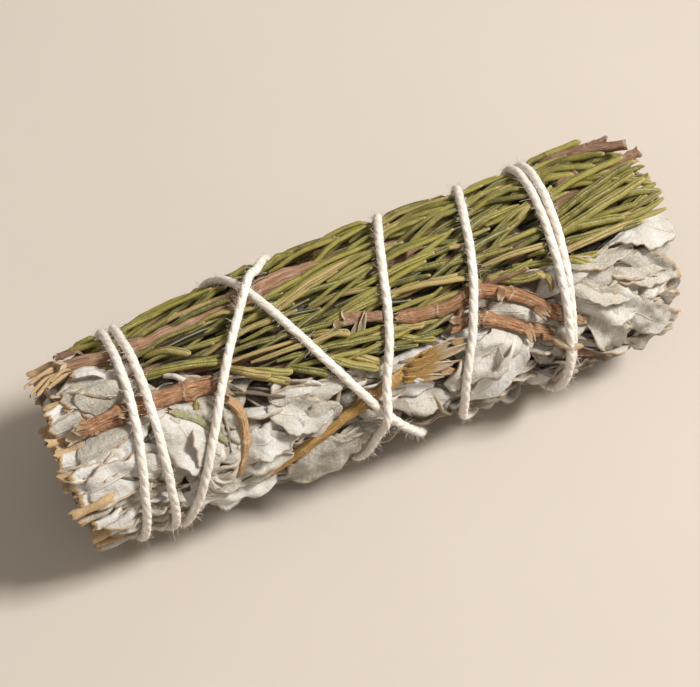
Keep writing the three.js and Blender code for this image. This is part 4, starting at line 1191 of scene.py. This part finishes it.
def build_twig(name, wide, high, deep, finish, line):
    """A twig whose bark ends in a torn edge before its paler wood does."""
    spacing = 0.3
    path = smooth_line(flat_line(line), spacing)
    ahead = np.gradient(path, axis=0)
    ahead /= np.linalg.norm(ahead, axis=1)[:, None]
    count = len(path) - 1
    bare = BARE_ENDS.get(name, (0.7, 0.7))
    pile = Pile()

    def bark_at(u, turn):
        """1 on the bark, 0 on bare wood, and how near the torn edge between them is."""
        edge = 0.45 * np.sin(turn * 2 + wide) + 0.3 * np.sin(turn * 5 + 1) + 0.15 * np.sin(turn * 11)
        inside = np.minimum(u * count * spacing - bare[0], (1 - u) * count * spacing - bare[1]) - edge
        return smooth(-0.2, 0.2, inside), np.exp(-((inside - 0.35) / 0.4) ** 2)

    def shape(u, v):
        i = nearest(u, count)
        turn = v * 2 * np.pi
        s = path[i, 0]
        bark, lip = bark_at(u, turn)
        ridges = 1 + 0.06 * np.sin(turn * 5 + s * 0.6) + 0.05 * np.sin(turn * 9 - s * 1.1)
        ridges = ridges + 0.06 * np.sin(turn * 3 + s * 2.3) * np.sin(s * 3.1)
        knots = 1 + 0.28 * np.maximum(0, np.sin(s * 0.5 + wide * 3)) ** 16
        run = u * count * spacing
        for collar in COLLARS.get(name, ()):
            past = run - collar - 0.25 * np.sin(turn * 3 + collar)
            knots = knots + 0.3 * smooth(-0.15, 0.15, past) * np.exp(-np.maximum(past, 0) / 0.8)
        taper = (1 - 0.12 * np.abs(2 * u - 1) ** 3) * ridges * knots
        taper = taper * (lerp(0.76, 1, bark) + 0.12 * lip)
        across = np.cos(turn) * wide * taper
        up = np.sin(turn) * high * taper
        rough = (np.sin(turn * 2 + wide) + np.sin(turn * 5)) * 0.4
        rough = rough * (smooth(0.97, 1, u) - smooth(0.03, 0, u))
        x = s - ahead[i, 1] * across + ahead[i, 0] * rough
        angle = (path[i, 1] + ahead[i, 0] * across + ahead[i, 1] * rough) / ARC
        return place(x, angle, skin(x, angle) - deep + up)

    def dryness(u, v):
        dry = 1 - bark_at(u, v * 2 * np.pi)[0]
        for collar in COLLARS.get(name, ()):
            past = u * count * spacing - collar - 0.25 * np.sin(v * 6 * np.pi + collar)
            dry = np.maximum(dry, 0.62 * np.exp(-((past - 0.1) / 0.3) ** 2))
        return dry

    bent_tube(pile, count, 26, shape, 0.5, dryness)
    look = OCHRE if name == "brown_twig_1" else WOODS[finish]
    finish_mesh(pile, f"{name}_bark", look, name, sharp=60)


def build_flakes():
    """Thin curled flakes where bark and stems are torn, and the pale tip that lies over a strand."""
    rng = np.random.default_rng(SEED + 12)
    piles = {finish: Pile() for finish in FLAKE_NODES}
    for x0, angle0, heading, length, width, rise, finish in FLAKES:
        head = math.radians(heading)
        phase = rng.uniform(0, 6.3)

        def shape(u, v):
            side = (v - 0.5) * 2
            half = width / 2 * (1 - 0.55 * u**3) * (1 + 0.12 * np.sin(u * 9 + phase))
            run = u * length * (1 + 0.12 * np.sin(side * 4 + phase))
            run = run + 0.3 * np.sin(side * 9 + phase) * smooth(0.7, 1, u)
            across = side * half
            x = x0 + run * math.cos(head) - across * math.sin(head)
            angle = angle0 + (run * math.sin(head) + across * math.cos(head)) / ARC
            up = 0.1 + rise * u**1.6 + 0.35 * side**2 * rise - 0.3 * smooth(0.2, 0, u)
            return place(x, angle, skin(x, angle) + up)

        bent_grid(piles[finish], 8, 6, shape, 0.5, lambda u, v: 0.25 + 0.6 * smooth(0.3, 1, u))
    path = smooth_line(flat_line(PALE_TIP), 0.3)
    count = len(path) - 1

    def tip(u, v):
        i = nearest(u, count)
        turn = v * 2 * np.pi
        thick = lerp(0.85, 0.5, u) * (1 + 0.1 * np.sin(turn * 3 + u * 8)) * (1 - 0.3 * smooth(0.85, 1, u))
        angle = path[i, 1] / ARC + np.cos(turn) * thick / ARC
        over = lerp(-0.4, 2.7, smooth(0.0, 0.7, u))
        x = path[i, 0]
        radius = skin(x, angle) + over + np.sin(turn) * thick
        return place(x - 0.25 * np.cos(turn) * thick, angle, radius)

    end = Pile()
    bent_tube(end, count, 14, tip, 0.9, lambda u, v: smooth(0.1, 0.45, u))
    finish_mesh(end, "pale_twig_tip", BARK, "brown_twig_3")
    for finish, pile in piles.items():
        node, slot = FLAKE_NODES[finish], WOOD_SLOTS[finish]
        piece = finish_mesh(pile, f"{finish}_flakes", WOODS[finish], node)
        add_wall(piece, FLAKE_THICKNESS)


# The twine

def twine_frame():
    path = smooth_line(flat_line(TWINE_ROUTE), 0.55)
    x, angle = path[:, 0], path[:, 1] / ARC
    centre = place(x, angle, skin(x, angle) + GAP + TWINE_RADIUS + path[:, 2]) / MM
    ahead = np.gradient(centre, axis=0)
    ahead /= np.linalg.norm(ahead, axis=1)[:, None]
    out = np.stack([np.zeros_like(x), -np.sin(np.radians(angle)), np.cos(np.radians(angle))], axis=-1)
    side = np.cross(ahead, out)
    side /= np.linalg.norm(side, axis=1)[:, None]
    out = np.cross(side, ahead)
    length = np.concatenate([[0], np.cumsum(np.linalg.norm(np.diff(centre, axis=0), axis=1))])
    return centre, side, out, length


def build_twine():
    centre, side, out, length = twine_frame()
    pile = Pile()
    count = len(centre) - 1
    for strand in range(PLIES):
        def shape(u, v):
            i = nearest(u, count)
            turn = 2 * np.pi * (length[i] / PLY_PITCH + strand / PLIES)
            around_heart = np.cos(turn)[:, None] * side[i] + np.sin(turn)[:, None] * out[i]
            heart = centre[i] + PLY_OFFSET * around_heart
            around = 2 * np.pi * v + turn
            thick = PLY_RADIUS * (1 + 0.05 * np.sin(length[i] * 1.7 + strand * 2))
            sideways = (thick * np.cos(around))[:, None] * side[i]
            outwards = (thick * np.sin(around))[:, None] * out[i]
            return (heart + sideways + outwards) * MM

        bent_tube(pile, count, 9, shape)
    build_knot(pile)
    finish_mesh(pile, "twine_plies", COTTON, "cotton_twine")


def build_knot(pile):
    """Two loops and two loose tails where the twine's ends meet, on the hidden back."""
    knot = place(KNOT_X, KNOT_ANGLE, skin(KNOT_X, KNOT_ANGLE) + GAP + KNOT_HEIGHT) / MM
    for tilt, heading in KNOT_TURNS:
        sine, cosine = math.sin(heading), math.cos(heading)
        a = np.array([cosine, sine, 0])
        b = np.array([-sine * math.cos(tilt), cosine * math.cos(tilt), math.sin(tilt)])
        c = np.cross(a, b)

        def ring(u, v):
            turn, around = u * 2 * np.pi, v * 2 * np.pi
            out = np.cos(turn)[:, None] * a + np.sin(turn)[:, None] * b
            wide = (KNOT_LOOP + KNOT_CORD * np.cos(around))[:, None]
            return (knot + out * wide + c * (KNOT_CORD * np.sin(around))[:, None]) * MM

        bent_tube(pile, 24, 12, ring)
    for line in KNOT_TAILS:
        path = smooth_line(flat_line(line), 0.4)

        def tail(u, v):
            i = nearest(u, len(path) - 1)
            around = v * 2 * np.pi
            thick = 0.7 * (1 + 0.12 * np.sin(around * 3 + u * 14)) * (1 + 0.25 * u**6)
            across = np.cos(around) * thick
            x, angle = path[i, 0] + across * 0.3, path[i, 1] / ARC + across / ARC
            return place(x, angle, skin(x, angle) + GAP + 1.7 - 0.7 * u + np.sin(around) * thick)

        bent_tube(pile, len(path) - 1, 12, tail)


def build_fuzz():
    """Loose fibres that stand off the twine."""
    centre, side, out, length = twine_frame()
    rng = np.random.default_rng(SEED + 9)
    pile = Pile()
    for _ in range(FUZZ_COUNT):
        i = int(rng.integers(4, len(centre) - 4))
        around = rng.uniform(-0.6, math.pi + 0.6)
        outward = math.cos(around) * side[i] + math.sin(around) * out[i]
        ahead = np.cross(side[i], out[i])
        root = centre[i] + outward * TWINE_RADIUS * 0.85
        if root[2] < FUZZ_FLOOR:
            continue
        reach = rng.uniform(0.2, 0.75) + 0.8 * rng.random() ** 6
        drift = ahead * rng.normal(0, 0.9) + np.cross(ahead, outward) * rng.normal(0, 0.4)
        curl = rng.normal(0, 0.75, 3)

        def hair(u, v):
            turn = v * 2 * np.pi
            core = root + np.outer(u, outward * reach + drift) + np.outer(np.sin(u * 2.6) * u, curl * reach)
            thick = FUZZ_THICKNESS * (1 - 0.4 * u)
            along_hair = np.outer(np.cos(turn) * thick, ahead)
            over_hair = np.outer(np.sin(turn) * thick, np.cross(ahead, outward))
            return (core + along_hair + over_hair) * MM

        bent_tube(pile, 4, 3, hair)
    finish_mesh(pile, "twine_fuzz", COTTON, "cotton_twine")


# Stage, light and camera

def build_stage():
    bm = bmesh.new()
    bmesh.ops.create_grid(bm, x_segments=1, y_segments=1, size=1.5)
    mesh = bpy.data.meshes.new("floor")
    bm.to_mesh(mesh)
    bm.free()
    mesh.materials.append(floor_finish())
    floor = bpy.data.objects.new("floor", mesh)
    bpy.context.collection.objects.link(floor)


def direction(azimuth, height):
    """A unit vector away from the bundle, 0 azimuth at its front."""
    a, e = math.radians(azimuth), math.radians(height)
    return Vector((math.sin(a) * math.cos(e), -math.cos(a) * math.cos(e), math.sin(e)))


def add_light(name, azimuth, height, distance, size, power, colour):
    data = bpy.data.lights.new(name, "AREA")
    data.energy, data.size, data.color = power, size, colour
    lamp = bpy.data.objects.new(name, data)
    away = direction(azimuth, height)
    lamp.location = away * distance
    lamp.rotation_euler = away.to_track_quat("Z", "Y").to_euler()
    bpy.context.collection.objects.link(lamp)


def build_light():
    world = bpy.data.worlds.new("room")
    world.use_nodes = True
    background = world.node_tree.nodes["Background"]
    background.inputs["Color"].default_value = ROOM_COLOUR
    background.inputs["Strength"].default_value = ROOM_STRENGTH
    bpy.context.scene.world = world
    bpy.context.scene.view_settings.view_transform = "Standard"
    for light in LIGHTS:
        add_light(*light)


def build_camera():
    back = direction(CAMERA_AZIMUTH, CAMERA_HEIGHT)
    data = bpy.data.cameras.new("camera")
    data.lens, data.sensor_width, data.clip_start = CAMERA_LENS, SENSOR_WIDTH, 0.01
    camera = bpy.data.objects.new("camera", data)
    camera.location = Vector((0, 0, AXIS_HEIGHT * MM)) + back * CAMERA_DISTANCE
    camera.rotation_euler = back.to_track_quat("Z", "Y").to_euler()
    bpy.context.collection.objects.link(camera)
    bpy.context.scene.camera = camera


build_camera()
build_light()
build_stage()
SAGE = sage_finish()
SHADED_INSIDE = shaded_core_finish()
NEEDLE = needle_finish()
BARK = bark_finish("brown_bark", (0.19, 0.075, 0.03), (0.55, 0.285, 0.13), (0.75, 0.59, 0.42))
STEM_BARK = bark_finish("stem_bark", (0.23, 0.10, 0.048), (0.54, 0.32, 0.19), (0.72, 0.58, 0.44))
OCHRE = bark_finish("ochre_bark", (0.27, 0.115, 0.045), (0.56, 0.29, 0.14), (0.74, 0.58, 0.44))
WOODS = {
    "bark": BARK,
    "golden": bark_finish("golden_stem", (0.34, 0.165, 0.035), (0.66, 0.40, 0.12), (0.80, 0.58, 0.28)),
    "tan": bark_finish("tan_stem", (0.50, 0.26, 0.09), (0.84, 0.56, 0.30), (0.90, 0.74, 0.50)),
    "green": bark_finish("green_stem", (0.34, 0.33, 0.16), (0.58, 0.56, 0.34), (0.72, 0.70, 0.52)),
}
COTTON = twine_finish()
build_core()
for name, (cover, thickness, grid) in COVER_LAYERS.items():
    build_leaves(name, cover_leaves(*cover), thickness, grid)
build_leaves("sage_placed_leaves", placed_leaves(), 0.38, (28, 14))
build_leaves("sage_leaf_tips", tip_leaves(), 0.4, (14, 8))
build_leaves("sage_cut_leaves", cut_leaves(), 0.4, (14, 10))
build_leaves("sage_torn_leaves", marked_leaves(), 0.38, (24, 14))
build_stalks()
build_needles(needle_list())
for lane in range(len(SPRIGS)):
    build_stem(lane)
build_cut_stems()
for item in TWIGS:
    build_twig(*item)
build_flakes()
build_twine()
build_fuzz()
